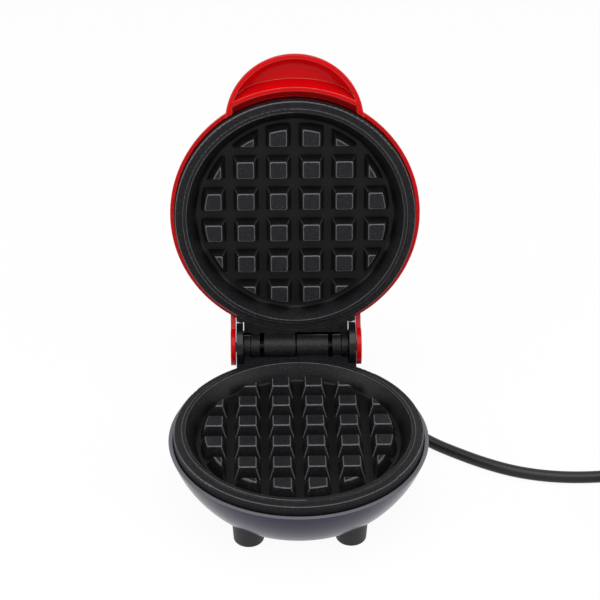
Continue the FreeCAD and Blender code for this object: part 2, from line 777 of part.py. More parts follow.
def lid_wires():
    """The two leads from the loom's door to the upper heater."""
    level, wall_r = loom_door()
    wires = []
    for side in (-1, 1):
        tip = pin_tip(side)
        start = vec(side * WIRE_PAIR_LID_X, wall_r - SHELL_WALL - SPARE, level)
        bend = vec(side * HEATER_BEND_R / 2, SHIELD_R, (level + HEATER_N) / 2)
        turn = tip + Y_AXIS * WIRE_PIN_STUB
        wires.append(wire_tube([start, bend, turn, tip], WIRE_R))
    return wires


def dome_centres():
    """The crown's radius and the middle heights of the lid's two arcs."""
    reach = SHELL_R - LID_SIDE_ROUND
    rise = SHELL_RIM_N - LID_TOP_N
    crown = (reach ** 2 + rise ** 2 - LID_SIDE_ROUND ** 2) / (2 * (rise - LID_SIDE_ROUND))
    return crown, LID_TOP_N + crown


def dome_radius(offset, level):
    """The lid wall's radius at a height on its side arc."""
    side = LID_SIDE_ROUND - offset
    return SHELL_R - LID_SIDE_ROUND + math.sqrt(side ** 2 - (level - SHELL_RIM_N) ** 2)


def dome(offset, top_n):
    """The lid's dome, drawn in by an offset: a wide crown that runs into a round side."""
    crown, crown_n = dome_centres()
    side_r = SHELL_R - LID_SIDE_ROUND
    lean = math.atan2(side_r, crown_n - SHELL_RIM_N)
    big = crown - offset
    small = LID_SIDE_ROUND - offset
    meet = (big * math.sin(lean), crown_n - big * math.cos(lean))
    crown_mid = (big * math.sin(lean / 2), crown_n - big * math.cos(lean / 2))
    half = (math.pi / 2 + lean) / 2
    side_mid = (side_r + small * math.sin(half), SHELL_RIM_N - small * math.cos(half))
    rim = (SHELL_R - offset, SHELL_RIM_N)
    steps = [(0, crown_n - big), (crown_mid, meet), (side_mid, rim)]
    if top_n > SHELL_RIM_N:
        steps.append((SHELL_R - offset, top_n))
    return turned(steps + [(0, top_n)])


def ear(side):
    """A hinge ear of the lid shell: a round end on the hinge, drawn out to the shell's wall."""
    x0, x1 = sorted((side * EAR_IN_X, side * EAR_OUT_X))
    slope = math.radians(EAR_SLOPE_DEG)
    neck = math.radians(EAR_NECK_DEG)
    back = (HINGE_Y + EAR_R * math.sin(slope), PARTING_N - EAR_R * math.cos(slope))
    far = (back[0] - EAR_RUN * math.cos(slope), back[1] - EAR_RUN * math.sin(slope))
    near = (HINGE_Y + EAR_R * math.cos(neck), PARTING_N + EAR_R * math.sin(neck))
    outline = [back, far, (EAR_ROOT_Y, SHELL_RIM_N), (EAR_RIM_Y, SHELL_RIM_N), near, (HINGE_Y, PARTING_N)]
    return slab_yz(outline, x0, x1).fuse(hinge_rod(EAR_R, x0, x1))


def handle():
    """The half-moon handle: a round tab, before its hollow is cut."""
    body = drum(HANDLE_R, HANDLE_TOP_N, HANDLE_RIM_N, 0, HANDLE_Y)
    body = body.makeFillet(HANDLE_ROUND, level_edges(body, HANDLE_TOP_N))
    return body.makeFillet(HANDLE_RIM_ROUND, level_edges(body, HANDLE_RIM_N))


def handle_hollow():
    """The hollow under the handle, where the fingers go, between its wall and the lid's lip."""
    deep = HANDLE_RIM_N - HANDLE_FLOOR_N
    wide = drum(HANDLE_R - HANDLE_WALL, HANDLE_FLOOR_N, HANDLE_RIM_N + SPARE, 0, HANDLE_Y)
    wide = wide.makeFillet(HANDLE_HOLLOW_ROUND, level_edges(wide, HANDLE_FLOOR_N))
    foot_r = HANDLE_LIP_R + HANDLE_LIP_DRAFT * (1 + SPARE / deep)
    lip = Part.makeCone(foot_r, HANDLE_LIP_R, deep + SPARE, vec(0, 0, HANDLE_FLOOR_N - SPARE))
    above = drum(HANDLE_LIP_R, HANDLE_RIM_N, HANDLE_RIM_N + SPARE)
    return wide.cut(lip.fuse(above))


def handle_slit():
    """The slit between the handle's lip and the plate's edge."""
    half = HANDLE_R - HANDLE_SLIT_SIDE
    reach = block(-half, half, -HANDLE_SLIT_R, HANDLE_Y, HANDLE_SLIT_N, HANDLE_RIM_N + SPARE)
    return reach.common(drum(HANDLE_SLIT_R, HANDLE_SLIT_N, HANDLE_RIM_N + SPARE))


def lens_seat_n():
    """The height of the lid's outer face at the lens."""
    crown, crown_n = dome_centres()
    return crown_n - math.sqrt(crown ** 2 - LENS_Y ** 2)


def lens_flange_n():
    """The height where the lens flange meets the lid's inner face at its far side."""
    crown, crown_n = dome_centres()
    far = abs(LENS_Y) + LENS_FLANGE_R
    return crown_n - math.sqrt((crown - SHELL_WALL) ** 2 - far ** 2) + LENS_GAP


def lid_shell():
    """The domed lid with its handle, hinge ears and inner posts."""
    outer = dome(0, SHELL_RIM_N)
    hollow = dome(SHELL_WALL, HANDLE_RIM_N + SPARE)
    body = joined([outer, handle(), ear(-1), ear(1)])
    for room in (hollow, handle_hollow(), handle_slit()):
        body = body.cut(room)
    post_top = SHIELD_LOW_N - STUD_COLLAR_H - POST_END_GAP
    posts = [drum(POST_R, LID_TOP_N, post_top, x, y).common(outer) for x, y in boss_places()]
    body = joined([body] + posts)
    bore_low = SHIELD_LOW_N - STUD_COLLAR_H - STUD_PIN_H - POST_END_GAP
    cuts = [drum(STUD_PIN_R + STUD_PIN_GAP, bore_low, post_top + SPARE, x, y) for x, y in boss_places()]
    cuts.append(hinge_rod(PIN_R + PIN_RUNNING_GAP, -SHELL_R, SHELL_R))
    cuts.append(drum(LENS_R + LENS_GAP, LID_TOP_N - SPARE, SHIELD_LOW_N, 0, LENS_Y))
    level, wall_r = loom_door()
    door = vec(0, wall_r, level)
    inward = Y_AXIS * (SHELL_WALL * 2)
    cuts.append(rod(LOOM_R + LOOM_HOLE_GAP, door - inward, door + inward))
    for cut in cuts:
        body = body.cut(cut)
    return body


def lid_studs():
    """Press studs: each is screwed into a plate boss, clamps the shield and plugs into a shell post."""
    studs = []
    collar_low = SHIELD_LOW_N - STUD_COLLAR_H
    for x, y in boss_places():
        shank = drum(SCREW_R, SHIELD_LOW_N, SHIELD_TOP_N + SCREW_BITE, x, y)
        collar = drum(STUD_COLLAR_R, collar_low, SHIELD_LOW_N, x, y)
        pin = drum(STUD_PIN_R, collar_low - STUD_PIN_H, collar_low, x, y)
        studs.append(joined([shank, collar, pin]))
    return studs


def indicator_lens():
    """The lens of the indicator, held from inside by its flange."""
    tip = lens_seat_n() - LENS_PROUD
    low = lens_flange_n()
    stem = drum(LENS_R, tip, low + LENS_FLANGE_H, 0, LENS_Y)
    stem = stem.makeFillet(LENS_TIP_ROUND, level_edges(stem, tip))
    return joined([stem, drum(LENS_FLANGE_R, low, low + LENS_FLANGE_H, 0, LENS_Y)])


def indicator_lamp():
    """The small lamp behind the lens, standing on the upper heat shield."""
    low = lens_flange_n() + LENS_FLANGE_H + SEAT_GAP
    return drum(LAMP_R, low, SHIELD_LOW_N - SEAT_GAP, 0, LENS_Y)


def hinge_loom():
    """The sleeved wires that loop from the rear housing to the open lid, in the part's frame."""
    level, wall_r = loom_door()
    door = vec(0, wall_r - SHELL_WALL / 2, level)
    turn = FreeCAD.Placement(vec(0, 0, 0), FreeCAD.Rotation(X_AXIS, -LID_OPEN_DEG))
    hinge = vec(0, HINGE_Y, PARTING_N)
    closed = vec(0, door.y, 2 * PARTING_N - door.z)
    lid_end = hinge + turn.multVec(closed - hinge)
    lid_way = turn.multVec(Y_AXIS)
    base_end = vec(0, TAIL_BACK_Y - SHELL_WALL / 2, LOOM_N)
    far = vec(0, TAIL_BACK_Y + LOOM_BULGE, (LOOM_N + lid_end.z) / 2 - LOOM_SAG)
    points = [base_end, base_end + Y_AXIS * LOOM_STUB, far, lid_end + lid_way * LOOM_STUB, lid_end]
    return wire_tube(points, LOOM_R)


def strain_relief():
    """The cord's boot: a sleeve in the gland, a collar outside it and a taper down to the cord."""
    middle, out = gland_axis()
    face = GLAND_OUT + SEAT_GAP
    body = turned([
        (0, -GLAND_IN),
        (RELIEF_SLEEVE_R, -GLAND_IN),
        (RELIEF_SLEEVE_R, face),
        (RELIEF_ROOT_R, face),
        (RELIEF_ROOT_R, face + RELIEF_COLLAR),
        (RELIEF_TIP_R, RELIEF_LENGTH),
        (0, RELIEF_LENGTH),
    ])
    body.Placement = FreeCAD.Placement(middle, FreeCAD.Rotation(Z_AXIS, out))
    return body


def supply_lead():
    """The cord's inner end, from the boot to the terminal block."""
    middle, out = gland_axis()
    start = middle - out * (GLAND_IN + SEAT_GAP)
    turn = start - out * LEAD_STUB
    end = vec(BLOCK_X / 2 + SEAT_GAP, turn.y, TAIL_FLOOR_N + BLOCK_LEAD_H)
    bend = vec((turn.x + end.x) / 2, end.y, end.z)
    return wire_tube([start, turn, bend, end], LEAD_R)


def coil_point(turn):
    """The coil's middle line at a count of turns, with its heading: in on one layer, out on the next."""
    half = COIL_TURNS / 2
    r = COIL_R - COIL_STEP * (half - abs(turn - half))
    shrink = math.copysign(COIL_STEP, turn - half) if turn != half else 0.0
    climb = min(1.0, max(0.0, (turn - half) / COIL_CLIMB_TURNS + 0.5))
    z = COIL_LOW_Z + COIL_STEP * climb * climb * (3 - 2 * climb)
    rise = COIL_STEP * 6 * climb * (1 - climb) / COIL_CLIMB_TURNS
    angle = math.pi / 2 - 2 * math.pi * turn
    place = vec(COIL_X + r * math.cos(angle), COIL_Y + r * math.sin(angle), z)
    sweep = 2 * math.pi * r
    heading = vec(sweep * math.sin(angle) + shrink * math.cos(angle),
                  -sweep * math.cos(angle) + shrink * math.sin(angle), rise)
    return place, unit(heading)


def cord_coil():
    """The put-away coil: one unbroken tube on biarcs of a quarter turn, straight at both ends."""
    quarters = int(COIL_TURNS * 4)
    nodes = [coil_point(i / 4) for i in range(quarters + 1)]
    first, first_way = nodes[0]
    last, last_way = nodes[-1]
    start = first - first_way * (2 * CORD_R)
    end = last + last_way * COIL_END
    edges = [Part.LineSegment(start, first).toShape()]
    for (here, way), (there, far_way) in zip(nodes, nodes[1:]):
        edges += biarc(here, way, there, far_way)
    edges.append(Part.LineSegment(last, end).toShape())
    path = Part.Wire(edges)
    return tube(path, CORD_R, start, first_way), path, (start, first_way), (end, last_way)


def least_self_gap(path):
    """The least clear space between stretches of the coil that are not next to each other."""
    step = 1.0
    points = path.discretize(Distance=step)
    apart = int(math.pi * 2 * CORD_R / step) * 2
    gaps = [(p - q).Length for i, p in enumerate(points) for q in points[i + apart:]]
    return min(gaps) - 2 * CORD_R


def coil_tie():
    """A flat tie round the coil's turns on the side that TIE_TURN gives."""
    turns = [TIE_TURN + i for i in range(int(COIL_TURNS - TIE_TURN) + 1)]
    places = [coil_point(t)[0] for t in turns]
    middle = vec(COIL_X, COIL_Y, 0)
    reaches = [vec(p.x - middle.x, p.y - middle.y, 0).Length for p in places]
    room = CORD_R + TIE_GAP
    low_r = min(reaches) - room
    high_r = max(reaches) + room
    low_z = min(p.z for p in places) - room
    high_z = max(p.z for p in places) + room
    half = TIE_WIDTH / 2
    inner = block(low_r, high_r, -half - SPARE, half + SPARE, low_z, high_z)
    outer = block(low_r - TIE_SHEET, high_r + TIE_SHEET, -half, half, low_z - TIE_SHEET, high_z + TIE_SHEET)
    outer = outer.makeFillet(CORD_R / 2 + TIE_SHEET, edges_along(outer, Y_AXIS))
    band = outer.cut(inner.makeFillet(CORD_R / 2, edges_along(inner, Y_AXIS)))
    band.rotate(vec(0, 0, 0), Z_AXIS, QUARTER_TURN - WHOLE_TURN * TIE_TURN)
    band.translate(middle)
    return band


def plug_body(start, way):
    """A moulded plug: a slim neck that widens into a rounded body with blade sockets."""
    neck = Part.makeCone(PLUG_NECK_TIP_R, PLUG_NECK_R, PLUG_NECK, start, way)
    high = 2 * (start.z - PLUG_TABLE_GAP)
    back = start + way * PLUG_NECK
    front = back + way * PLUG_LENGTH
    across = Z_AXIS.cross(way)
    wires = []
    for middle, wide in ((back, PLUG_BACK_WIDTH), (front, PLUG_WIDTH)):
        sides = [(-wide / 2, -high / 2), (wide / 2, -high / 2), (wide / 2, high / 2), (-wide / 2, high / 2)]
        corners = [middle + across * a + Z_AXIS * b for a, b in sides + sides[:1]]
        wires.append(Part.makePolygon(corners))
    body = Part.makeLoft(wires, True, True)
    body = body.makeFillet(PLUG_ROUND, body.Edges)
    body = joined([body, neck])
    for blade in plug_blades(start, way, SEAT_GAP):
        body = body.cut(blade)
    return body


def plug_blades(start, way, spare=0.0):
    """Two flat blades standing out of the plug's face."""
    face = start + way * (PLUG_NECK + PLUG_LENGTH)
    turn = FreeCAD.Rotation(X_AXIS, way)
    blades = []
    for side in (-1, 1):
        middle = side * BLADE_PITCH / 2
        half = BLADE_THICK / 2 + spare
        high = BLADE_HIGH / 2 + spare
        blade = block(-BLADE_SOCKET_DEPTH - spare, BLADE_LENGTH, middle - half, middle + half, -high, high)
        blade.Placement = FreeCAD.Placement(face, turn)
        blades.append(blade)
    return blades


def cord_run(coil_start, coil_way):
    """The free cord from the strain relief's tip along its route to the coil."""
    out = gland_axis()[1]
    tip = out * RELIEF_LENGTH + vec(0, 0, GLAND_N + RING_Z)
    points = [tip, tip + out * CORD_FIRST_RUN]
    points += [vec(x, y, z) for x, y, z in CORD_ROUTE]
    points += [coil_start - coil_way * COIL_LEAD, coil_start]
    print("cord route", [tuple(round(c, 2) for c in p) for p in points])
    path, radii = rounded_path(points)
    return tube(path, CORD_R, points[0], points[1] - points[0]), path, radii


def main():
    """Build every piece at its place and write one file for each."""
    casting = plate()
    element = heater()
    shield = heat_shield()
    base = {
        "base_shell": base_shell(),
        "lower_plate": casting,
        "lower_heater": element,
        "lower_heat_shield": shield,
        "thermostat": thermostat(),
        "thermostat_strap": thermostat_strap(),
        "strap_screws": Part.makeCompound(strap_screws()),
        "thermal_fuse": thermal_fuse(),
        "terminal_block": terminal_block(),
        "foot_screws": Part.makeCompound(foot_screws()),
        "base_screws": Part.makeCompound(base_screws()),
        "hinge_pin": hinge_rod(PIN_R, -EAR_OUT_X, EAR_OUT_X),
        "base_wires": Part.makeCompound(base_wires()),
        "supply_lead": supply_lead(),
        "strain_relief": strain_relief(),
        "hinge_loom": hinge_loom(),
    }
    for name, (x, y, seat) in foot_places().items():
        base[name] = foot(x, y, seat)
    lid = {
        "lid_shell": lid_shell(),
        "upper_plate": casting,
        "upper_heater": element,
        "upper_heat_shield": shield,
        "lid_studs": Part.makeCompound(lid_studs()),
        "indicator_lens": indicator_lens(),
        "indicator_lamp": indicator_lamp(),
        "lid_wires": Part.makeCompound(lid_wires()),
    }
    coil, coil_path, coil_start, (coil_end, coil_way) = cord_coil()
    run, run_path, radii = cord_run(*coil_start)
    plug_start = coil_end + coil_way * SEAT_GAP
    cord = {
        "cord_run": run,
        "cord_coil": coil,
        "coil_tie": coil_tie(),
        "plug_body": plug_body(plug_start, coil_way),
        "plug_blades": Part.makeCompound(plug_blades(plug_start, coil_way)),
    }
    shift = vec(TAIL_HALF_X, GLAND_Y + BASE_AXIS_Y, 0)
    for shape in cord.values():
        shape.translate(shift)
    pieces = {name: on_base(shape) for name, shape in base.items()}
    pieces.update({name: on_lid(shape) for name, shape in lid.items()})
    pieces.update(cord)
    os.makedirs("parts", exist_ok=True)
    for name, shape in pieces.items():
        shape.exportStep("parts/" + name + ".step")
    section = math.pi * CORD_R ** 2
    print("cord radii", [round(r, 1) for r in radii])
    print("cord run volume against section times length", run.Volume / (section * run_path.Length))
    print("coil volume against section times length", coil.Volume / (section * coil_path.Length))
    print("cord length", run_path.Length + coil_path.Length)
    print("coil least self gap", least_self_gap(coil_path))
    print("hinge at", BASE_AXIS_Y + HINGE_Y, RING_Z + PARTING_N)
    for name, shape in pieces.items():
        solids = len(shape.Solids)
        print(name, "solids", solids, "valid", shape.isValid(), "volume", round(shape.Volume, 1))


main()
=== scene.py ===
"""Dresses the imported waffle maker: red lid, coated plates, dark base, cord with plug, and a plain stage."""

import math

import bpy
import numpy as np
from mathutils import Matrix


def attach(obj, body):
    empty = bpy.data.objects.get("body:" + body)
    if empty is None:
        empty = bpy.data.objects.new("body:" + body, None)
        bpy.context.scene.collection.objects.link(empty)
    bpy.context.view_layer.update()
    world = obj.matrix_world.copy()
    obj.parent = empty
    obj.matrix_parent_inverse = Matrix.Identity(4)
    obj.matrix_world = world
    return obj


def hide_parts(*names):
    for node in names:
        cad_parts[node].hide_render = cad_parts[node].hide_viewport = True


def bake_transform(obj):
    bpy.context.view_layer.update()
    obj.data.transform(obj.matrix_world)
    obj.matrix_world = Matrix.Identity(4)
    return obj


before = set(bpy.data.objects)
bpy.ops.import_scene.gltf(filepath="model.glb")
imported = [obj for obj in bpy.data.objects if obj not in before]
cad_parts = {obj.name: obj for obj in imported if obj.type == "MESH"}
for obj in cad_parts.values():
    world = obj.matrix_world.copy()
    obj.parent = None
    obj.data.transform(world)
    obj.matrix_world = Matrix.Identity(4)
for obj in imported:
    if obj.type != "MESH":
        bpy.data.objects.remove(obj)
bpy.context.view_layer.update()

bl_info = {
    "name": "Waffle maker dressing",
    "version": (1, 0, 0),
    "blender": (4, 5, 0),
    "location": "3D View > Sidebar > Waffle Maker",
    "description": "Gives the packed waffle maker its finishes, its cord and a plain studio",
    "category": "Object",
}

# The way of the cord on the table, in metres: out of the boot, down to the table and on to the coil.
CORD_ROUTE = (
    (0.05039, 0.02325, 0.00976),
    (0.05923, 0.01729, 0.00545),
    (0.06990, 0.00963, 0.00330),
    (0.08100, 0.00173, 0.00310),
    (0.09350, -0.00647, 0.00310),
    (0.10700, -0.01337, 0.00310),
    (0.12150, -0.01767, 0.00310),
    (0.13700, -0.01947, 0.00310),
    (0.15350, -0.01957, 0.00360),
    (0.17001, -0.01829, 0.00480),
    (0.18400, -0.01870, 0.00480),
)
COIL_END = (0.20400, -0.01846, 0.01140)

# How finely the cord is drawn, and over how much of a turn its coil climbs to the upper layer.
COIL_POINTS_PER_TURN = 16
COIL_CLIMB_TURNS = 0.5
CORD_STEPS = 8
CORD_ROUNDNESS = 6
CORD_ORDER = 3

# Where the cord's boot leaves the rear housing, in metres, and the ways of the boot and of the plug.
GLAND_PLACE = (0.0304, 0.03673, 0.0195)
GLAND_WAY = (0.76867, -0.51847, -0.37461)
PLUG_WAY = (0.99957, 0.02917, 0.0)

# The boot's foot and tip as radius and height in metres: the foot is a neck and then a round flange.
BOOT_FOOT = (
    (0.0043, -0.00500),
    (0.0045, -0.00480),
    (0.0045, 0.00515),
    (0.0059, 0.00515),
    (0.0062, 0.00550),
    (0.0062, 0.00680),
    (0.0059, 0.00715),
)
BOOT_TIP = (0.0038, 0.0260)

# The ribbed tapers of the boot and of the plug's neck, in metres: heights, radii and depth of the grooves.
BOOT_TAPER = {
    "low": 0.0073,
    "high": 0.0255,
    "low_radius": 0.0058,
    "high_radius": 0.0041,
    "ribs": 7,
    "depth": 0.0008,
}
PLUG_NECK = {
    "low": 0.0010,
    "high": 0.0165,
    "low_radius": 0.0042,
    "high_radius": 0.0054,
    "ribs": 6,
    "depth": 0.0006,
}
STEPS_PER_RIB = 12
LATHE_SIDES = 40

# The way of the wire sleeve over the hinge, in metres, from the rear housing to the open lid.
LOOM_ROUTE = (
    (0.0, 0.05073, 0.02750),
    (0.0, 0.05983, 0.02750),
    (0.0, 0.06533, 0.03287),
    (0.0, 0.05556, 0.03974),
    (0.0, 0.05778, 0.05020),
)
LOOM_RADIUS = 0.0026
LOOM_STEPS = 61
LOOM_SIDES = 20
LOOM_UV = "sleeve"

# The hinge line, in metres, and the angle to which the lid stands open.
HINGE_PLACE = (0.0, 0.04143, 0.0430)
LID_OPEN = math.radians(102.0)

# The plates, in metres: the lower one's middle, its outer radius and where its pocket and studs end.
PLATE_MIDDLE_Y = -0.02727
PLATE_RADIUS = 0.0606
POCKET_RADIUS = 0.0500
STUD_RADIUS = 0.0458

# Heights in metres: the plate's pocket floor, its stud tops, the base's rim and half its band of painted
# highlight.
POCKET_HEIGHT = 0.0342
STUD_HEIGHT = 0.0405
BASE_RIM_HEIGHT = 0.0365
RIM_BAND = 0.0004

# Bands of the normal that tell a plate's edges: middle and half width, as inputs 1 and 2 of a comparison.
BEVEL_BAND = {1: 0.765, 2: 0.135}
WALL_BAND = {1: 0.36, 2: 0.07}
CORNER_BAND = {1: 0.44, 2: 0.07}

# How far up a normal points on stud tops and on the base's rim, and how much painted light
# brings the tops toward the flecks' colour.
TOP_FACING = 0.95
RIM_FACING = 0.25
TOP_PAINTED_LIGHT = 0.07

# The moulded shells: sizes of clouding and peel in millimetres, and the radius of a moulded edge in metres.
CLOUD_MM = 28.0
PEEL_MM = 2.2
MOULDED_EDGE = 0.0006

# Painted edge highlights: cosines of the turn at which the highlight starts and is full, and how pale it
# gets.
HIGHLIGHT_FROM = 0.99
HIGHLIGHT_FULL = 0.8
HIGHLIGHT_SHARE = 0.45

# The waves that draw the sleeve's threads run through this many radians in one unit at a scale of 1.
WAVE_RADIANS = 20.0

# The camera, fitted to the photograph: its place in metres, its tilt and turn, and its sensor in millimetres.
CAMERA_PLACE = (-0.01394, -0.74302, 0.57074)
CAMERA_TILT = math.radians(57.515)
CAMERA_TURN = math.radians(-1.168)
CAMERA_SENSOR_MM = 36.0

# The soft lights: name, the setting with its power, and its width and place in metres. All face one point.
LIGHTS = (
    ("key_light", "key_power", 1.2, (0.0, -0.45, 1.3)),
    ("left_light", "side_power", 0.8, (-1.1, -0.5, 0.55)),
    ("right_light", "side_power", 0.8, (1.1, -0.5, 0.55)),
)
LIGHT_AIM = (0.0, 0.0, 0.08)

# The surround's strength as a light, and the share of plain white in the floor as the camera sees it.
SURROUND_STRENGTH = 0.35
FLOOR_WHITE_SHARE = 0.94

# The floor, in metres: how far it reaches to each side and lies below the feet, and its points along a side.
FLOOR_REACH = 4.0
FLOOR_DROP = 0.0004
FLOOR_POINTS = 9


def linear(hex_colour):
    """An sRGB hex colour as linear red, green and blue."""
    parts = [int(hex_colour[i:i + 2], 16) / 255 for i in (1, 3, 5)]
    return tuple(p / 12.92 if p <= 0.04045 else ((p + 0.055) / 1.055) ** 2.4 for p in parts)


def rgba(colour):
    """A colour with full alpha."""
    return (*tuple(colour)[:3], 1.0)


WHITE = rgba(linear("#ffffff"))


def per_metre(millimetres):
    """The texture scale that makes one cell of a pattern this large."""
    return 1000.0 / millimetres


def add(tree, kind, inputs=None, **settings):
    """Adds one node and returns its outputs.

    Settings are the node's own properties. An input is a number, a colour or the socket that feeds it.
    """
    node = tree.nodes.new(kind)
    for name, value in settings.items():
        setattr(node, name, value)
    for socket, value in (inputs or {}).items():
        if isinstance(value, bpy.types.NodeSocket):
            tree.links.new(value, node.inputs[socket])
        else:
            node.inputs[socket].default_value = value
    return node.outputs


def blank(name):
    """A new material with an empty node tree, and that tree."""
    material = bpy.data.materials.new(name)
    material.use_nodes = True
    material.node_tree.nodes.clear()
    return material, material.node_tree


def gloss_abs(name, colour, shade, pale, roughness, mirror, rim=None):
    """Injection-moulded ABS from a polished tool: a wet gloss, slight clouding, edges rounded by the tool.

    The mirror share is below that of clean plastic, as mould release leaves the skin a little dull. Edges
    get a painted highlight in the pale colour where the rounded normal turns away from the face's own. A rim
    is a height and a colour: faces that look up at that height get the painted highlight too, and what stands
    above it takes that colour as painted shade.
    """
    material, tree = blank(name)
    coordinates = add(tree, "ShaderNodeTexCoord")
    place = coordinates["Object"]
    cloud = add(tree, "ShaderNodeTexNoise",
                {"Vector": place, "Scale": per_metre(CLOUD_MM), "Detail": 2.0})["Fac"]
    tint = add(tree, "ShaderNodeMix", {"Factor": cloud, "A": rgba(shade), "B": rgba(colour)},
               data_type="RGBA")["Result"]
    haze = add(tree, "ShaderNodeMapRange",
               {"Value": cloud, "To Min": roughness * 0.8, "To Max": roughness * 1.25})["Result"]
    rounded = add(tree, "ShaderNodeBevel", {"Radius": MOULDED_EDGE})["Normal"]
    peel = add(tree, "ShaderNodeTexNoise",
               {"Vector": place, "Scale": per_metre(PEEL_MM), "Detail": 1.0})["Fac"]
    bump = add(tree, "ShaderNodeBump",
               {"Height": peel, "Normal": rounded, "Strength": 0.04, "Distance": 0.0001})["Normal"]
    own = add(tree, "ShaderNodeNewGeometry")["Normal"]
    turn = add(tree, "ShaderNodeVectorMath", {0: rounded, 1: own}, operation="DOT_PRODUCT")["Value"]
    # Painted highlight: where the rounded normal turns away from the face's own, the colour goes pale.
    highlit = add(tree, "ShaderNodeMapRange",
                 {"Value": turn, "From Min": HIGHLIGHT_FROM, "From Max": HIGHLIGHT_FULL,
                  "To Max": HIGHLIGHT_SHARE})["Result"]
    tint = add(tree, "ShaderNodeMix", {"Factor": highlit, "A": tint, "B": rgba(pale)},
               data_type="RGBA")["Result"]
    if rim:
        height, shaded_towers = rim
        # Painted highlight: faces that look up at the rim's height take the pale colour.
        level = add(tree, "ShaderNodeSeparateXYZ", {"Vector": place})["Z"]
        near = add(tree, "ShaderNodeMath", {0: level, 1: height, 2: RIM_BAND}, operation="COMPARE")["Value"]
        up = add(tree, "ShaderNodeSeparateXYZ", {"Vector": coordinates["Normal"]})["Z"]
        up = add(tree, "ShaderNodeMath", {0: up, 1: RIM_FACING}, operation="GREATER_THAN")["Value"]
        highlit = add(tree, "ShaderNodeMath", {0: near, 1: up}, operation="MULTIPLY")["Value"]
        tint = add(tree, "ShaderNodeMix", {"Factor": highlit, "A": tint, "B": rgba(pale)},
                   data_type="RGBA")["Result"]
        # Painted shade: all that stands above the rim, by the hinge between the lid's ears, goes near black.
        above = add(tree, "ShaderNodeMath", {0: level, 1: height + RIM_BAND},
                    operation="GREATER_THAN")["Value"]
        tint = add(tree, "ShaderNodeMix", {"Factor": above, "A": tint, "B": rgba(shaded_towers)},
                   data_type="RGBA")["Result"]
    shader = add(tree, "ShaderNodeBsdfPrincipled",
                 {"Base Color": tint, "Roughness": haze, "Normal": bump, "IOR": 1.53,
                  "Specular IOR Level": mirror})["BSDF"]
    add(tree, "ShaderNodeOutputMaterial", {"Surface": shader})
    return material


def lay_plate_flat(tree, lean, middle_y):
    """A plate's normal, height and distance from its middle, once it is turned on its hinge to lie flat."""
    coordinates = add(tree, "ShaderNodeTexCoord")
    facing = add(tree, "ShaderNodeVectorRotate", {"Vector": coordinates["Normal"], "Angle": lean},
                 rotation_type="X_AXIS")["Vector"]
    axes = add(tree, "ShaderNodeSeparateXYZ", {"Vector": facing})
    flat = add(tree, "ShaderNodeVectorRotate",
               {"Vector": coordinates["Object"], "Angle": lean, "Center": HINGE_PLACE},
               rotation_type="X_AXIS")["Vector"]
    level = add(tree, "ShaderNodeSeparateXYZ", {"Vector": flat})["Z"]
    flat = add(tree, "ShaderNodeMapping",
               {"Vector": flat, "Location": (0.0, -middle_y, 0.0), "Scale": (1.0, 1.0, 0.0)})["Vector"]
    radius = add(tree, "ShaderNodeVectorMath", {0: flat}, operation="LENGTH")["Value"]
    return axes, level, radius


def plate_edges(tree, axes, radius, studs, corner_light):
    """Share of painted edge highlight on a plate: 1 on a bevel and corner_light where two stud walls meet.

    The pocket's hollow corner and what lies outside the plate, such as the knuckles, count as no edges.
    """
    bevel = add(tree, "ShaderNodeMath", {0: axes["Z"], **BEVEL_BAND}, operation="COMPARE")["Value"]
    hollow = add(tree, "ShaderNodeMath", {0: radius, 1: POCKET_RADIUS, 2: POCKET_RADIUS - STUD_RADIUS},
                 operation="COMPARE")["Value"]
    bevel = add(tree, "ShaderNodeMath", {0: bevel, 1: hollow}, operation="SUBTRACT", use_clamp=True)["Value"]
    within = add(tree, "ShaderNodeMath", {0: radius, 1: PLATE_RADIUS}, operation="LESS_THAN")["Value"]
    bevel = add(tree, "ShaderNodeMath", {0: bevel, 1: within}, operation="MULTIPLY")["Value"]
    wall = add(tree, "ShaderNodeMath", {0: axes["Z"], **WALL_BAND}, operation="COMPARE")["Value"]
    aside = add(tree, "ShaderNodeMath", {0: axes["X"], 1: axes["Y"]}, operation="MULTIPLY")["Value"]
    aside = add(tree, "ShaderNodeMath", {0: aside}, operation="ABSOLUTE")["Value"]
    corner = add(tree, "ShaderNodeMath", {0: aside, **CORNER_BAND}, operation="COMPARE")["Value"]
    for share in (wall, studs, corner_light):
        corner = add(tree, "ShaderNodeMath", {0: corner, 1: share}, operation="MULTIPLY")["Value"]
    return add(tree, "ShaderNodeMath", {0: bevel, 1: corner}, operation="MAXIMUM")["Value"]


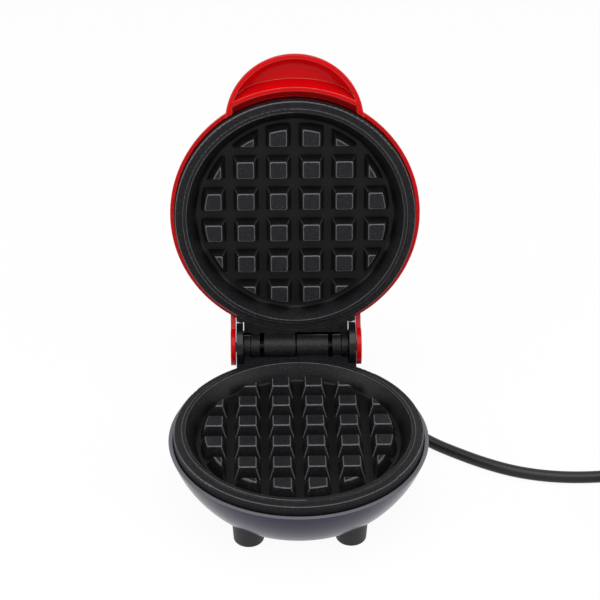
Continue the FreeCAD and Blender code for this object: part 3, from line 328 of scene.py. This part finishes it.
def nonstick_coat(name, look, lean, middle_y, corner_light):
    """Sprayed non-stick coat on cast aluminium: near-black satin with mineral flecks.

    Its edges carry pale lines of painted highlight, it is darker with painted shade deep between the
    studs, and its stud tops are lighter with painted light. Real flecks are about 0.3 mm; they are drawn
    coarser so that they show.
    """
    material, tree = blank(name)
    place = add(tree, "ShaderNodeTexCoord")["Object"]
    axes, level, radius = lay_plate_flat(tree, lean, middle_y)
    studs = add(tree, "ShaderNodeMath", {0: radius, 1: STUD_RADIUS}, operation="LESS_THAN")["Value"]
    edge = plate_edges(tree, axes, radius, studs, corner_light)
    spray = add(tree, "ShaderNodeTexNoise",
                {"Vector": place, "Scale": per_metre(look.fleck_mm), "Detail": 3.0, "Roughness": 0.7})["Fac"]
    flecks = add(tree, "ShaderNodeMapRange", {"Value": spray, "From Min": 0.54, "From Max": 0.7})["Result"]
    tint = add(tree, "ShaderNodeMix", {"Factor": flecks, "A": rgba(look.coat), "B": rgba(look.fleck_and_top_light)},
               data_type="RGBA")["Result"]
    # Painted shade: the coat darkens the lower it lies, down to the shade colour deep between the studs.
    height = add(tree, "ShaderNodeMapRange",
                 {"Value": level, "From Min": POCKET_HEIGHT, "From Max": STUD_HEIGHT})["Result"]
    tint = add(tree, "ShaderNodeMix", {"Factor": height, "A": rgba(look.recess_shade), "B": tint},
               data_type="RGBA")["Result"]
    # Painted light: stud tops that face up are lightened toward the flecks' colour.
    lit_top = add(tree, "ShaderNodeMath", {0: axes["Z"], 1: TOP_FACING}, operation="GREATER_THAN")["Value"]
    for share in (height, studs, TOP_PAINTED_LIGHT):
        lit_top = add(tree, "ShaderNodeMath", {0: lit_top, 1: share}, operation="MULTIPLY")["Value"]
    tint = add(tree, "ShaderNodeMix", {"Factor": lit_top, "A": tint, "B": rgba(look.fleck_and_top_light)},
               data_type="RGBA")["Result"]
    # Painted highlight: edges are mixed toward the pale edge colour, broken up by the spray noise.
    painted_edge_light = add(tree, "ShaderNodeMapRange",
               {"Value": spray, "From Min": 0.3, "From Max": 0.7, "To Min": 0.35, "To Max": 0.9})["Result"]
    painted_edge_light = add(tree, "ShaderNodeMath", {0: painted_edge_light, 1: edge}, operation="MULTIPLY")["Value"]
    tint = add(tree, "ShaderNodeMix", {"Factor": painted_edge_light, "A": tint, "B": rgba(look.edge)},
               data_type="RGBA")["Result"]
    satin = add(tree, "ShaderNodeMapRange", {"Value": spray, "To Min": 0.3, "To Max": 0.5})["Result"]
    bump = add(tree, "ShaderNodeBump", {"Height": spray, "Strength": 0.9, "Distance": 0.00012})["Normal"]
    shader = add(tree, "ShaderNodeBsdfPrincipled",
                 {"Base Color": tint, "Roughness": satin, "Normal": bump, "IOR": 1.38,
                  "Specular IOR Level": 0.25})["BSDF"]
    add(tree, "ShaderNodeOutputMaterial", {"Surface": shader})
    return material


def grained_moulding(name, colour, shade, grain_mm, roughness):
    """Rubber, soft PVC, silicone or steatite from an eroded tool: a fine even grain and a soft highlight."""
    material, tree = blank(name)
    place = add(tree, "ShaderNodeTexCoord")["Object"]
    grain = add(tree, "ShaderNodeTexNoise",
                {"Vector": place, "Scale": per_metre(grain_mm), "Detail": 2.0})["Fac"]
    tint = add(tree, "ShaderNodeMix", {"Factor": grain, "A": rgba(shade), "B": rgba(colour)},
               data_type="RGBA")["Result"]
    satin = add(tree, "ShaderNodeMapRange",
                {"Value": grain, "To Min": roughness - 0.06, "To Max": roughness + 0.08})["Result"]
    bump = add(tree, "ShaderNodeBump", {"Height": grain, "Strength": 0.15, "Distance": 0.0001})["Normal"]
    shader = add(tree, "ShaderNodeBsdfPrincipled",
                 {"Base Color": tint, "Roughness": satin, "Normal": bump, "IOR": 1.5,
                  "Specular IOR Level": 0.28})["BSDF"]
    add(tree, "ShaderNodeOutputMaterial", {"Surface": shader})
    return material


def worked_metal(name, colour, shade, stretch, line_mm, roughness):
    """Metal with fine lines along the way it was drawn or rolled, or an even mottle if not stretched."""
    material, tree = blank(name)
    place = add(tree, "ShaderNodeTexCoord")["Object"]
    along = add(tree, "ShaderNodeMapping", {"Vector": place, "Scale": stretch})["Vector"]
    lines = add(tree, "ShaderNodeTexNoise",
                {"Vector": along, "Scale": per_metre(line_mm), "Detail": 3.0})["Fac"]
    tint = add(tree, "ShaderNodeMix", {"Factor": lines, "A": rgba(shade), "B": rgba(colour)},
               data_type="RGBA")["Result"]
    satin = add(tree, "ShaderNodeMapRange",
                {"Value": lines, "To Min": roughness * 0.75, "To Max": roughness * 1.3})["Result"]
    bump = add(tree, "ShaderNodeBump", {"Height": lines, "Strength": 0.1, "Distance": 0.00005})["Normal"]
    shader = add(tree, "ShaderNodeBsdfPrincipled",
                 {"Base Color": tint, "Roughness": satin, "Normal": bump, "Metallic": 1.0})["BSDF"]
    add(tree, "ShaderNodeOutputMaterial", {"Surface": shader})
    return material


def fibre_sleeve(name, colour, shade, braid_mm):
    """Braided glass-fibre sleeve: two families of threads that cross, drawn on its own length and girth."""
    material, tree = blank(name)
    place = add(tree, "ShaderNodeUVMap", uv_map=LOOM_UV)["UV"]
    scale = 2 * math.pi * per_metre(braid_mm) / WAVE_RADIANS
    heights = []
    for turn in (math.pi / 4, -math.pi / 4):
        lean = add(tree, "ShaderNodeMapping", {"Vector": place, "Rotation": (0.0, 0.0, turn)})["Vector"]
        heights.append(add(tree, "ShaderNodeTexWave", {"Vector": lean, "Scale": scale})["Fac"])
    braid = add(tree, "ShaderNodeMath", {0: heights[0], 1: heights[1]}, operation="MAXIMUM")["Value"]
    tint = add(tree, "ShaderNodeMix", {"Factor": braid, "A": rgba(shade), "B": rgba(colour)},
               data_type="RGBA")["Result"]
    bump = add(tree, "ShaderNodeBump", {"Height": braid, "Strength": 0.6, "Distance": 0.0002})["Normal"]
    shader = add(tree, "ShaderNodeBsdfPrincipled",
                 {"Base Color": tint, "Normal": bump, "Roughness": 0.7, "IOR": 1.5})["BSDF"]
    add(tree, "ShaderNodeOutputMaterial", {"Surface": shader})
    return material


def clear_polycarbonate(name, colour, cloud_mm):
    """Moulded polycarbonate lens: clear with a pale tint, so that the lamp behind it shows through."""
    material, tree = blank(name)
    place = add(tree, "ShaderNodeTexCoord")["Object"]
    cloud = add(tree, "ShaderNodeTexNoise",
                {"Vector": place, "Scale": per_metre(cloud_mm), "Detail": 1.0})["Fac"]
    gloss = add(tree, "ShaderNodeMapRange", {"Value": cloud, "To Min": 0.08, "To Max": 0.2})["Result"]
    shader = add(tree, "ShaderNodeBsdfPrincipled",
                 {"Base Color": rgba(colour), "Roughness": gloss, "IOR": 1.58,
                  "Transmission Weight": 0.6})["BSDF"]
    add(tree, "ShaderNodeOutputMaterial", {"Surface": shader})
    return material


def seen_directly(tree):
    """1 where a surface is seen itself, through glass or mirrored, and 0 where it only lights others."""
    path = add(tree, "ShaderNodeLightPath")
    seen = add(tree, "ShaderNodeMath", {0: path["Is Camera Ray"], 1: path["Is Transmission Ray"]},
               operation="MAXIMUM")["Value"]
    return add(tree, "ShaderNodeMath", {0: seen, 1: path["Is Glossy Ray"]}, operation="MAXIMUM")["Value"]


def paper_sweep(name, colour):
    """Pale matt paper: it takes the shadows, and what is seen of it is nearly plain white."""
    material, tree = blank(name)
    paper = add(tree, "ShaderNodeBsdfDiffuse", {"Color": rgba(colour)})["BSDF"]
    glow = add(tree, "ShaderNodeEmission", {"Color": WHITE, "Strength": 1.0})["Emission"]
    share = add(tree, "ShaderNodeMath", {0: seen_directly(tree), 1: FLOOR_WHITE_SHARE},
                operation="MULTIPLY")["Value"]
    both = add(tree, "ShaderNodeMixShader", {0: share, 1: paper, 2: glow})["Shader"]
    add(tree, "ShaderNodeOutputMaterial", {"Surface": both})
    return material


def white_surround(name):
    """A world that looks white and lights the object softly."""
    world = bpy.data.worlds.new(name)
    world.use_nodes = True
    tree = world.node_tree
    tree.nodes.clear()
    soft = add(tree, "ShaderNodeBackground", {"Color": WHITE, "Strength": SURROUND_STRENGTH})["Background"]
    white = add(tree, "ShaderNodeBackground", {"Color": WHITE, "Strength": 1.0})["Background"]
    both = add(tree, "ShaderNodeMixShader", {0: seen_directly(tree), 1: soft, 2: white})["Shader"]
    add(tree, "ShaderNodeOutputWorld", {"Surface": both})
    return world


def dress(material, *nodes):
    """Gives CAD nodes a material in their objects' slots."""
    for node in nodes:
        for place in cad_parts[node].material_slots:
            place.material = material


def surface(name, points, faces, material, body, slot, uv=None):
    """Puts points and faces, and a UV for each point if given, into a smooth piece that rides on a body."""
    mesh = bpy.data.meshes.new(name)
    mesh.from_pydata(points.reshape(-1, 3).tolist(), [], faces)
    mesh.polygons.foreach_set("use_smooth", np.ones(len(mesh.polygons), dtype=bool))
    if uv is not None:
        layer = mesh.uv_layers.new(name=LOOM_UV)
        order = np.empty(len(mesh.loops), dtype=np.int32)
        mesh.loops.foreach_get("vertex_index", order)
        layer.data.foreach_set("uv", uv.reshape(-1, 2)[order].astype(np.float32).ravel())
    mesh.materials.append(material)
    mesh.update()
    piece = bpy.data.objects.new(name, mesh)
    bpy.context.scene.collection.objects.link(piece)
    if body:
        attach(piece, body)
    return piece


def grid_faces(rows, columns, closed):
    """The quads of a grid of points whose columns may close into a ring."""
    spans = columns if closed else columns - 1
    row, column = np.meshgrid(np.arange(rows - 1), np.arange(spans), indexing="ij")
    beside = (column + 1) % columns
    quads = np.stack((row * columns + column, row * columns + beside,
                      (row + 1) * columns + beside, (row + 1) * columns + column), axis=-1)
    return quads.reshape(-1, 4).tolist()


def capped_faces(rows, sides):
    """The quads of a tube of rings, with one face that closes each end."""
    faces = grid_faces(rows, sides, True)
    faces.append(list(range(sides))[::-1])
    faces.append(list(range((rows - 1) * sides, rows * sides)))
    return faces


def smooth_line(route, steps):
    """A quadratic B-spline that starts and ends on its route: each point blends three points of the route."""
    route = np.asarray(route)
    ends = np.vstack((2 * route[0] - route[1], route, 2 * route[-1] - route[-2]))
    span = np.linspace(0.5, len(route) - 0.5, steps) + 0.5
    whole = np.clip(span.astype(int), 1, len(route))
    t = (span - whole)[:, None]
    before, here, after = ends[whole - 1], ends[whole], ends[whole + 1]
    return 0.5 * (1 - t) ** 2 * before + (0.5 + t * (1 - t)) * here + 0.5 * t ** 2 * after


def tube_in_plane(route, radius, steps, sides):
    """A closed tube on a line in a plane of constant X: point(s, a) = line(s) + r (cos a X + sin a N)."""
    line = smooth_line(route, steps)
    way = np.gradient(line, axis=0)
    way /= np.linalg.norm(way, axis=1)[:, None]
    side = np.array((1.0, 0.0, 0.0))
    normal = np.cross(way, side)
    angle = np.linspace(0, 2 * np.pi, sides, endpoint=False)
    ring = np.cos(angle)[None, :, None] * side + np.sin(angle)[None, :, None] * normal[:, None, :]
    points = line[:, None, :] + radius * ring
    length = np.concatenate(([0.0], np.cumsum(np.linalg.norm(np.diff(line, axis=0), axis=1))))
    uv = np.stack(np.broadcast_arrays(length[:, None], radius * angle[None, :]), axis=-1)
    return points, capped_faces(steps, sides), uv


def lathe(profile, place, axis):
    """A turned solid: point(i, a) = place + height_i axis + radius_i (cos a U + sin a V).

    The profile is an array of (radius, height) that starts and ends off the axis. Two end faces close it.
    """
    axis = np.asarray(axis) / np.linalg.norm(axis)
    aside = np.cross(axis, (0.0, 0.0, 1.0))
    aside /= np.linalg.norm(aside)
    across = np.cross(axis, aside)
    angle = np.linspace(0, 2 * np.pi, LATHE_SIDES, endpoint=False)
    ring = np.cos(angle)[:, None] * aside + np.sin(angle)[:, None] * across
    points = np.asarray(place) + profile[:, 1][:, None, None] * axis + profile[:, 0][:, None, None] * ring
    return points, capped_faces(len(profile), LATHE_SIDES)


def ribbed_taper(low, high, low_radius, high_radius, ribs, depth):
    """The profile of a ribbed cone: radius(t) changes evenly, less depth times the ribs' wave squared."""
    t = np.linspace(0, 1, ribs * STEPS_PER_RIB + 1)
    groove = (0.5 - 0.5 * np.cos(2 * np.pi * ribs * t)) ** 2
    radius = low_radius + (high_radius - low_radius) * t - depth * groove
    return np.stack((radius, low + (high - low) * t), axis=-1)


def coil_points(sizes):
    """The coil's turns: a spiral that winds in on one layer and out on the next, and climbs between them.

    The points lie a little outside the turns, because the spline runs inside its points.
    """
    turn = np.arange(1, int(sizes.coil_turns * COIL_POINTS_PER_TURN) + 1) / COIL_POINTS_PER_TURN
    half = sizes.coil_turns / 2
    radius = sizes.coil_radius - sizes.coil_step * (half - np.abs(turn - half))
    radius = radius / math.cos(math.pi / COIL_POINTS_PER_TURN)
    climb = np.clip((turn - half) / COIL_CLIMB_TURNS + 0.5, 0, 1)
    height = CORD_ROUTE[-1][2] + sizes.coil_step * climb * climb * (3 - 2 * climb)
    angle = np.pi / 2 - 2 * np.pi * turn
    middle = sizes.coil_middle
    return np.stack((middle[0] + radius * np.cos(angle), middle[1] + radius * np.sin(angle), height), axis=-1)


def laid_cord(scene, sizes, material):
    """The cord as one smooth curve: along its route, round its coil and to the plug."""
    curve = bpy.data.curves.new("cord", "CURVE")
    curve.dimensions = "3D"
    curve.bevel_depth = sizes.diameter / 2
    curve.bevel_resolution = CORD_ROUNDNESS
    curve.resolution_u = CORD_STEPS
    curve.use_fill_caps = True
    route = np.vstack((CORD_ROUTE, coil_points(sizes), COIL_END))
    spline = curve.splines.new("NURBS")
    spline.points.add(len(route) - 1)
    spline.points.foreach_set("co", np.hstack((route, np.ones((len(route), 1)))).ravel())
    spline.order_u = CORD_ORDER
    spline.use_endpoint_u = True
    curve.materials.append(material)
    cord = bpy.data.objects.new("cord", curve)
    scene.collection.objects.link(cord)
    return cord


def set_camera(scene, lens_mm):
    """Stands the camera where the photograph was taken from."""
    lens = bpy.data.cameras.new("camera")
    lens.lens = lens_mm
    lens.sensor_width = CAMERA_SENSOR_MM
    camera = bpy.data.objects.new("camera", lens)
    camera.location = CAMERA_PLACE
    camera.rotation_euler = (CAMERA_TILT, 0.0, CAMERA_TURN)
    scene.collection.objects.link(camera)
    scene.camera = camera


def hang_light(scene, name, power, width, place):
    """Hangs a square soft light and turns it towards the point that all lights face."""
    lamp = bpy.data.lights.new(name, "AREA")
    lamp.energy = power
    lamp.size = width
    light = bpy.data.objects.new(name, lamp)
    heading = np.array(LIGHT_AIM) - np.array(place)
    flat = math.hypot(heading[0], heading[1])
    light.location = place
    light.rotation_euler = (math.atan2(flat, -heading[2]), 0.0, math.atan2(-heading[0], heading[1]))
    scene.collection.objects.link(light)


def lay_floor(scene, material):
    """Lays a flat floor: point(x, y) = (x, y, just below the feet) on an even grid."""
    reach = np.linspace(-FLOOR_REACH, FLOOR_REACH, FLOOR_POINTS)
    x, y = np.meshgrid(reach, reach, indexing="ij")
    points = np.stack((x, y, np.full_like(x, -FLOOR_DROP)), axis=-1)
    mesh = bpy.data.meshes.new("floor")
    mesh.from_pydata(points.reshape(-1, 3).tolist(), [], grid_faces(FLOOR_POINTS, FLOOR_POINTS, False))
    mesh.materials.append(material)
    floor = bpy.data.objects.new("floor", mesh)
    scene.collection.objects.link(floor)


def colour_setting(name, description, hex_colour):
    """A colour that a user can change."""
    return bpy.props.FloatVectorProperty(name=name, description=description, subtype="COLOR",
                                         default=linear(hex_colour), min=0, max=1)


def number_setting(name, description, default, low, high, **kind):
    """A number that a user can change between two limits; its kind is a unit or a subtype."""
    return bpy.props.FloatProperty(name=name, description=description, default=default,
                                   min=low, max=high, **kind)


class LidFinish(bpy.types.PropertyGroup):
    """What a user would change on the lid."""

    red: colour_setting("Red", "Colour of the moulded lid", "#c4060b")
    deep_red: colour_setting("Deep red", "Its slightly deeper clouding", "#b4050a")
    # Painted highlight: the pale colour of the lid's edges.
    highlight_red: colour_setting("Pale red", "Colour of its rubbed edges", "#ee9288")
    lens: colour_setting("Lens", "Tint of the indicator's lens", "#c9dcf2")
    gloss: number_setting("Roughness", "Roughness of the polished moulding", 0.16, 0, 1, subtype="FACTOR")


class PlateFinish(bpy.types.PropertyGroup):
    """What a user would change on the cooking plates."""

    coat: colour_setting("Coat", "Colour of the non-stick coat", "#0f0e10")
    # Painted shade deep between the studs.
    recess_shade: colour_setting("Pooled", "Colour of the coat deep between the studs", "#0e0d0e")
    # Also the colour toward which stud tops are lightened as painted light.
    fleck_and_top_light: colour_setting("Fleck", "Colour of its mineral flecks", "#39393d")
    # Painted highlight: the pale colour of the plates' edge lines.
    edge: colour_setting("Edge", "Colour of the coat where it is thin on edges", "#6a6a6e")
    fleck_mm: number_setting("Fleck size", "Drawn size of a fleck in millimetres", 0.6, 0.2, 3)


class BaseFinish(bpy.types.PropertyGroup):
    """What a user would change on the base."""

    grey: colour_setting("Grey", "Colour of the base shell", "#211e36")
    deep_grey: colour_setting("Deep grey", "Its slightly deeper clouding", "#1d1a30")
    # Painted highlight: the pale colour of the base's rim and edges.
    rim: colour_setting("Rim", "Colour of the base's rubbed rim", "#6b6970")
    # Painted shade: near black above the rim by the hinge, standing in for the shade between the lid's ears.
    shaded_towers: colour_setting("Towers", "Colour of the hinge towers above the rim", "#0d0c10")
    feet: colour_setting("Feet", "Colour of the rubber feet", "#2a2a2c")
    gloss: number_setting("Roughness", "Roughness of the polished moulding", 0.2, 0, 1, subtype="FACTOR")


class CordSizes(bpy.types.PropertyGroup):
    """What a user would change on the cord."""

    pvc: colour_setting("PVC", "Colour of the cord and plug", "#1c1c1e")
    deep_pvc: colour_setting("Deep PVC", "Its slightly deeper grain", "#161617")
    diameter: number_setting("Diameter", "Outer diameter of the cord", 0.006, 0.002, 0.02, unit="LENGTH")
    length: number_setting("Length", "Length of the cord from boot to plug", 0.752, 0.1, 5, unit="LENGTH")
    coil_radius: number_setting("Coil radius", "Outer radius of the coil's middle line", 0.036, 0.01, 0.2,
                                unit="LENGTH")
    coil_step: number_setting("Coil step", "Distance from turn to turn", 0.0066, 0.002, 0.03, unit="LENGTH")
    coil_turns: number_setting("Coil turns", "Number of turns put away", 3.0, 1, 12)
    coil_middle: bpy.props.FloatVectorProperty(name="Coil middle",
                                               description="Middle of the coil on the table",
                                               size=2, default=(0.190, -0.05487), unit="LENGTH")


class StageSizes(bpy.types.PropertyGroup):
    """What a user would change on the stage."""

    floor: colour_setting("Floor", "Colour of the floor", "#f4f4f4")
    key_power: number_setting("Key light", "Power of the large soft light above", 14.0, 0, 200, unit="POWER")
    side_power: number_setting("Side lights", "Power of each soft light at the sides", 6.0, 0, 200,
                               unit="POWER")
    lens_mm: number_setting("Lens", "Focal length of the camera in millimetres", 110.31, 10, 300)


class WAFFLE_OT_lid(bpy.types.Operator):
    """Gives the lid shell and its indicator their finishes"""

    bl_idname = "waffle.lid"
    bl_label = "Lid and indicator"

    def execute(self, context):
        look = context.scene.waffle_lid
        red = gloss_abs("polished_red_abs", look.red, look.deep_red, look.highlight_red, look.gloss, mirror=0.1)
        dress(red, "lid_shell")
        dress(clear_polycarbonate("lens_polycarbonate", look.lens, cloud_mm=3.0), "indicator_lens")
        return {"FINISHED"}


class WAFFLE_OT_plates(bpy.types.Operator):
    """Gives both cooking plates their non-stick coat"""

    bl_idname = "waffle.plates"
    bl_label = "Cooking plates"

    def execute(self, context):
        look = context.scene.waffle_plates
        # Painted highlight on stud corners: stronger on the lower plate than on the upper, as the light
        # falls.
        lower = nonstick_coat("nonstick_lower_casting", look, 0.0, PLATE_MIDDLE_Y, corner_light=0.8)
        dress(lower, "lower_plate")
        turned_middle = 2 * HINGE_PLACE[1] - PLATE_MIDDLE_Y
        upper = nonstick_coat("nonstick_upper_casting", look, LID_OPEN - math.pi, turned_middle,
                              corner_light=0.25)
        dress(upper, "upper_plate")
        return {"FINISHED"}


class WAFFLE_OT_base(bpy.types.Operator):
    """Gives the base shell and its feet their finishes"""

    bl_idname = "waffle.base"
    bl_label = "Base and feet"

    def execute(self, context):
        look = context.scene.waffle_base
        grey = gloss_abs("polished_grey_abs", look.grey, look.deep_grey, look.rim, look.gloss, mirror=0.2,
                         rim=(BASE_RIM_HEIGHT, look.shaded_towers))
        dress(grey, "base_shell")
        rubber = grained_moulding("moulded_foot_rubber", look.feet, linear("#242426"),
                                  grain_mm=0.9, roughness=0.5)
        dress(rubber, "front_left_foot", "front_right_foot", "rear_left_foot", "rear_right_foot")
        return {"FINISHED"}


class WAFFLE_OT_works(bpy.types.Operator):
    """Gives the hinge pin, the screws, the heaters and the other inner pieces their finishes"""

    bl_idname = "waffle.works"
    bl_label = "Pin, screws and inner pieces"

    def execute(self, context):
        drawn = worked_metal("blackened_steel_pin", linear("#1d1d1f"), linear("#141415"),
                             stretch=(0.05, 1.0, 1.0), line_mm=0.4, roughness=0.4)
        dress(drawn, "hinge_pin")
        zinc = worked_metal("zinc_plated_steel", linear("#c4c3bb"), linear("#a5a5a2"),
                            stretch=(1.0, 1.0, 1.0), line_mm=0.8, roughness=0.32)
        dress(zinc, "base_screws", "foot_screws", "strap_screws", "lid_studs")
        tube = worked_metal("heat_tinted_steel_tube", linear("#75706a"), linear("#4d4a49"),
                            stretch=(1.0, 1.0, 1.0), line_mm=4.0, roughness=0.42)
        dress(tube, "lower_heater", "upper_heater")
        sheet = worked_metal("rolled_aluminium_sheet", linear("#d3d4d6"), linear("#bfc0c3"),
                             stretch=(0.04, 1.0, 1.0), line_mm=0.5, roughness=0.3)
        dress(sheet, "lower_heat_shield", "upper_heat_shield", "thermostat_strap")
        ceramic = grained_moulding("pressed_steatite", linear("#e2ddd0"), linear("#d5cfc0"),
                                   grain_mm=0.8, roughness=0.55)
        dress(ceramic, "thermostat", "terminal_block", "indicator_lamp")
        silicone = grained_moulding("silicone_wire_cover", linear("#d8d3c7"), linear("#ccc6b9"),
                                    grain_mm=0.6, roughness=0.6)
        dress(silicone, "base_wires", "lid_wires", "supply_lead", "thermal_fuse")
        return {"FINISHED"}


class WAFFLE_OT_loom(bpy.types.Operator):
    """Makes the sleeved wires that bend over the hinge"""

    bl_idname = "waffle.loom"
    bl_label = "Hinge loom"

    def execute(self, context):
        sleeve = fibre_sleeve("black_glass_fibre_sleeve", linear("#2c2c2e"), linear("#131314"),
                              braid_mm=5.655)
        points, faces, uv = tube_in_plane(LOOM_ROUTE, LOOM_RADIUS, LOOM_STEPS, LOOM_SIDES)
        piece = surface("loom_sleeve", points, faces, sleeve, None, "loom_sleeve", uv)
        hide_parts("hinge_loom")
        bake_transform(piece)
        return {"FINISHED"}


class WAFFLE_OT_cord(bpy.types.Operator):
    """Lays the cord on the table, winds up the rest of it and finishes its boot, tie and plug"""

    bl_idname = "waffle.cord"
    bl_label = "Cord, coil and plug"

    def execute(self, context):
        sizes = context.scene.waffle_cord
        pvc = grained_moulding("extruded_black_pvc", sizes.pvc, sizes.deep_pvc, grain_mm=1.6, roughness=0.36)
        cord = laid_cord(context.scene, sizes, pvc)
        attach(cord, "base")
        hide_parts("cord_run", "cord_coil")
        moulding = grained_moulding("moulded_black_pvc", sizes.pvc, sizes.deep_pvc,
                                    grain_mm=0.9, roughness=0.42)
        dress(moulding, "plug_body", "coil_tie")
        profile = np.vstack((BOOT_FOOT, ribbed_taper(**BOOT_TAPER), BOOT_TIP))
        turned = lathe(profile, GLAND_PLACE, GLAND_WAY)
        boot = surface("cord_boot", *turned, moulding, "base", "plug_moulding")
        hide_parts("strain_relief")
        neck = lathe(ribbed_taper(**PLUG_NECK), COIL_END, PLUG_WAY)
        collar = surface("plug_neck_ribs", *neck, moulding, "base", "plug_moulding")
        brass = worked_metal("rolled_brass", linear("#cdb277"), linear("#b3965a"),
                             stretch=(0.05, 1.0, 1.0), line_mm=0.4, roughness=0.28)
        dress(brass, "plug_blades")
        return {"FINISHED"}


class WAFFLE_OT_stage(bpy.types.Operator):
    """Sets the camera, the soft lights, the white surround and the pale floor"""

    bl_idname = "waffle.stage"
    bl_label = "Stage"

    def execute(self, context):
        scene = context.scene
        sizes = scene.waffle_stage
        set_camera(scene, sizes.lens_mm)
        for name, power, width, place in LIGHTS:
            hang_light(scene, name, getattr(sizes, power), width, place)
        scene.world = white_surround("white_surround")
        lay_floor(scene, paper_sweep("pale_paper_sweep", sizes.floor))
        scene.view_settings.view_transform = "Standard"
        return {"FINISHED"}


OPERATORS = (
    WAFFLE_OT_cord,
    WAFFLE_OT_lid,
    WAFFLE_OT_plates,
    WAFFLE_OT_base,
    WAFFLE_OT_works,
    WAFFLE_OT_loom,
    WAFFLE_OT_stage,
)
GROUPS = {
    "waffle_lid": LidFinish,
    "waffle_plates": PlateFinish,
    "waffle_base": BaseFinish,
    "waffle_cord": CordSizes,
    "waffle_stage": StageSizes,
}


class WAFFLE_PT_dressing(bpy.types.Panel):
    """Lists the dressing steps and their settings"""

    bl_idname = "WAFFLE_PT_dressing"
    bl_label = "Waffle Maker"
    bl_space_type = "VIEW_3D"
    bl_region_type = "UI"
    bl_category = "Waffle Maker"

    def draw(self, context):
        for step in OPERATORS:
            self.layout.operator(step.bl_idname)
        for name, group in GROUPS.items():
            box = self.layout.box()
            for setting in group.__annotations__:
                box.prop(getattr(context.scene, name), setting)


def register():
    """Registers the settings, the steps and the panel."""
    for kind in (*GROUPS.values(), *OPERATORS, WAFFLE_PT_dressing):
        bpy.utils.register_class(kind)
    for name, group in GROUPS.items():
        setattr(bpy.types.Scene, name, bpy.props.PointerProperty(type=group))


def unregister():
    """Takes the settings, the steps and the panel away again."""
    for name in GROUPS:
        delattr(bpy.types.Scene, name)
    for kind in reversed((*GROUPS.values(), *OPERATORS, WAFFLE_PT_dressing)):
        bpy.utils.unregister_class(kind)


def main():
    """Runs every step in order."""
    register()
    bpy.ops.waffle.stage()
    bpy.ops.waffle.cord()
    bpy.ops.waffle.lid()
    bpy.ops.waffle.plates()
    bpy.ops.waffle.base()
    bpy.ops.waffle.works()
    bpy.ops.waffle.loom()


if __name__ == "__main__":
    main()
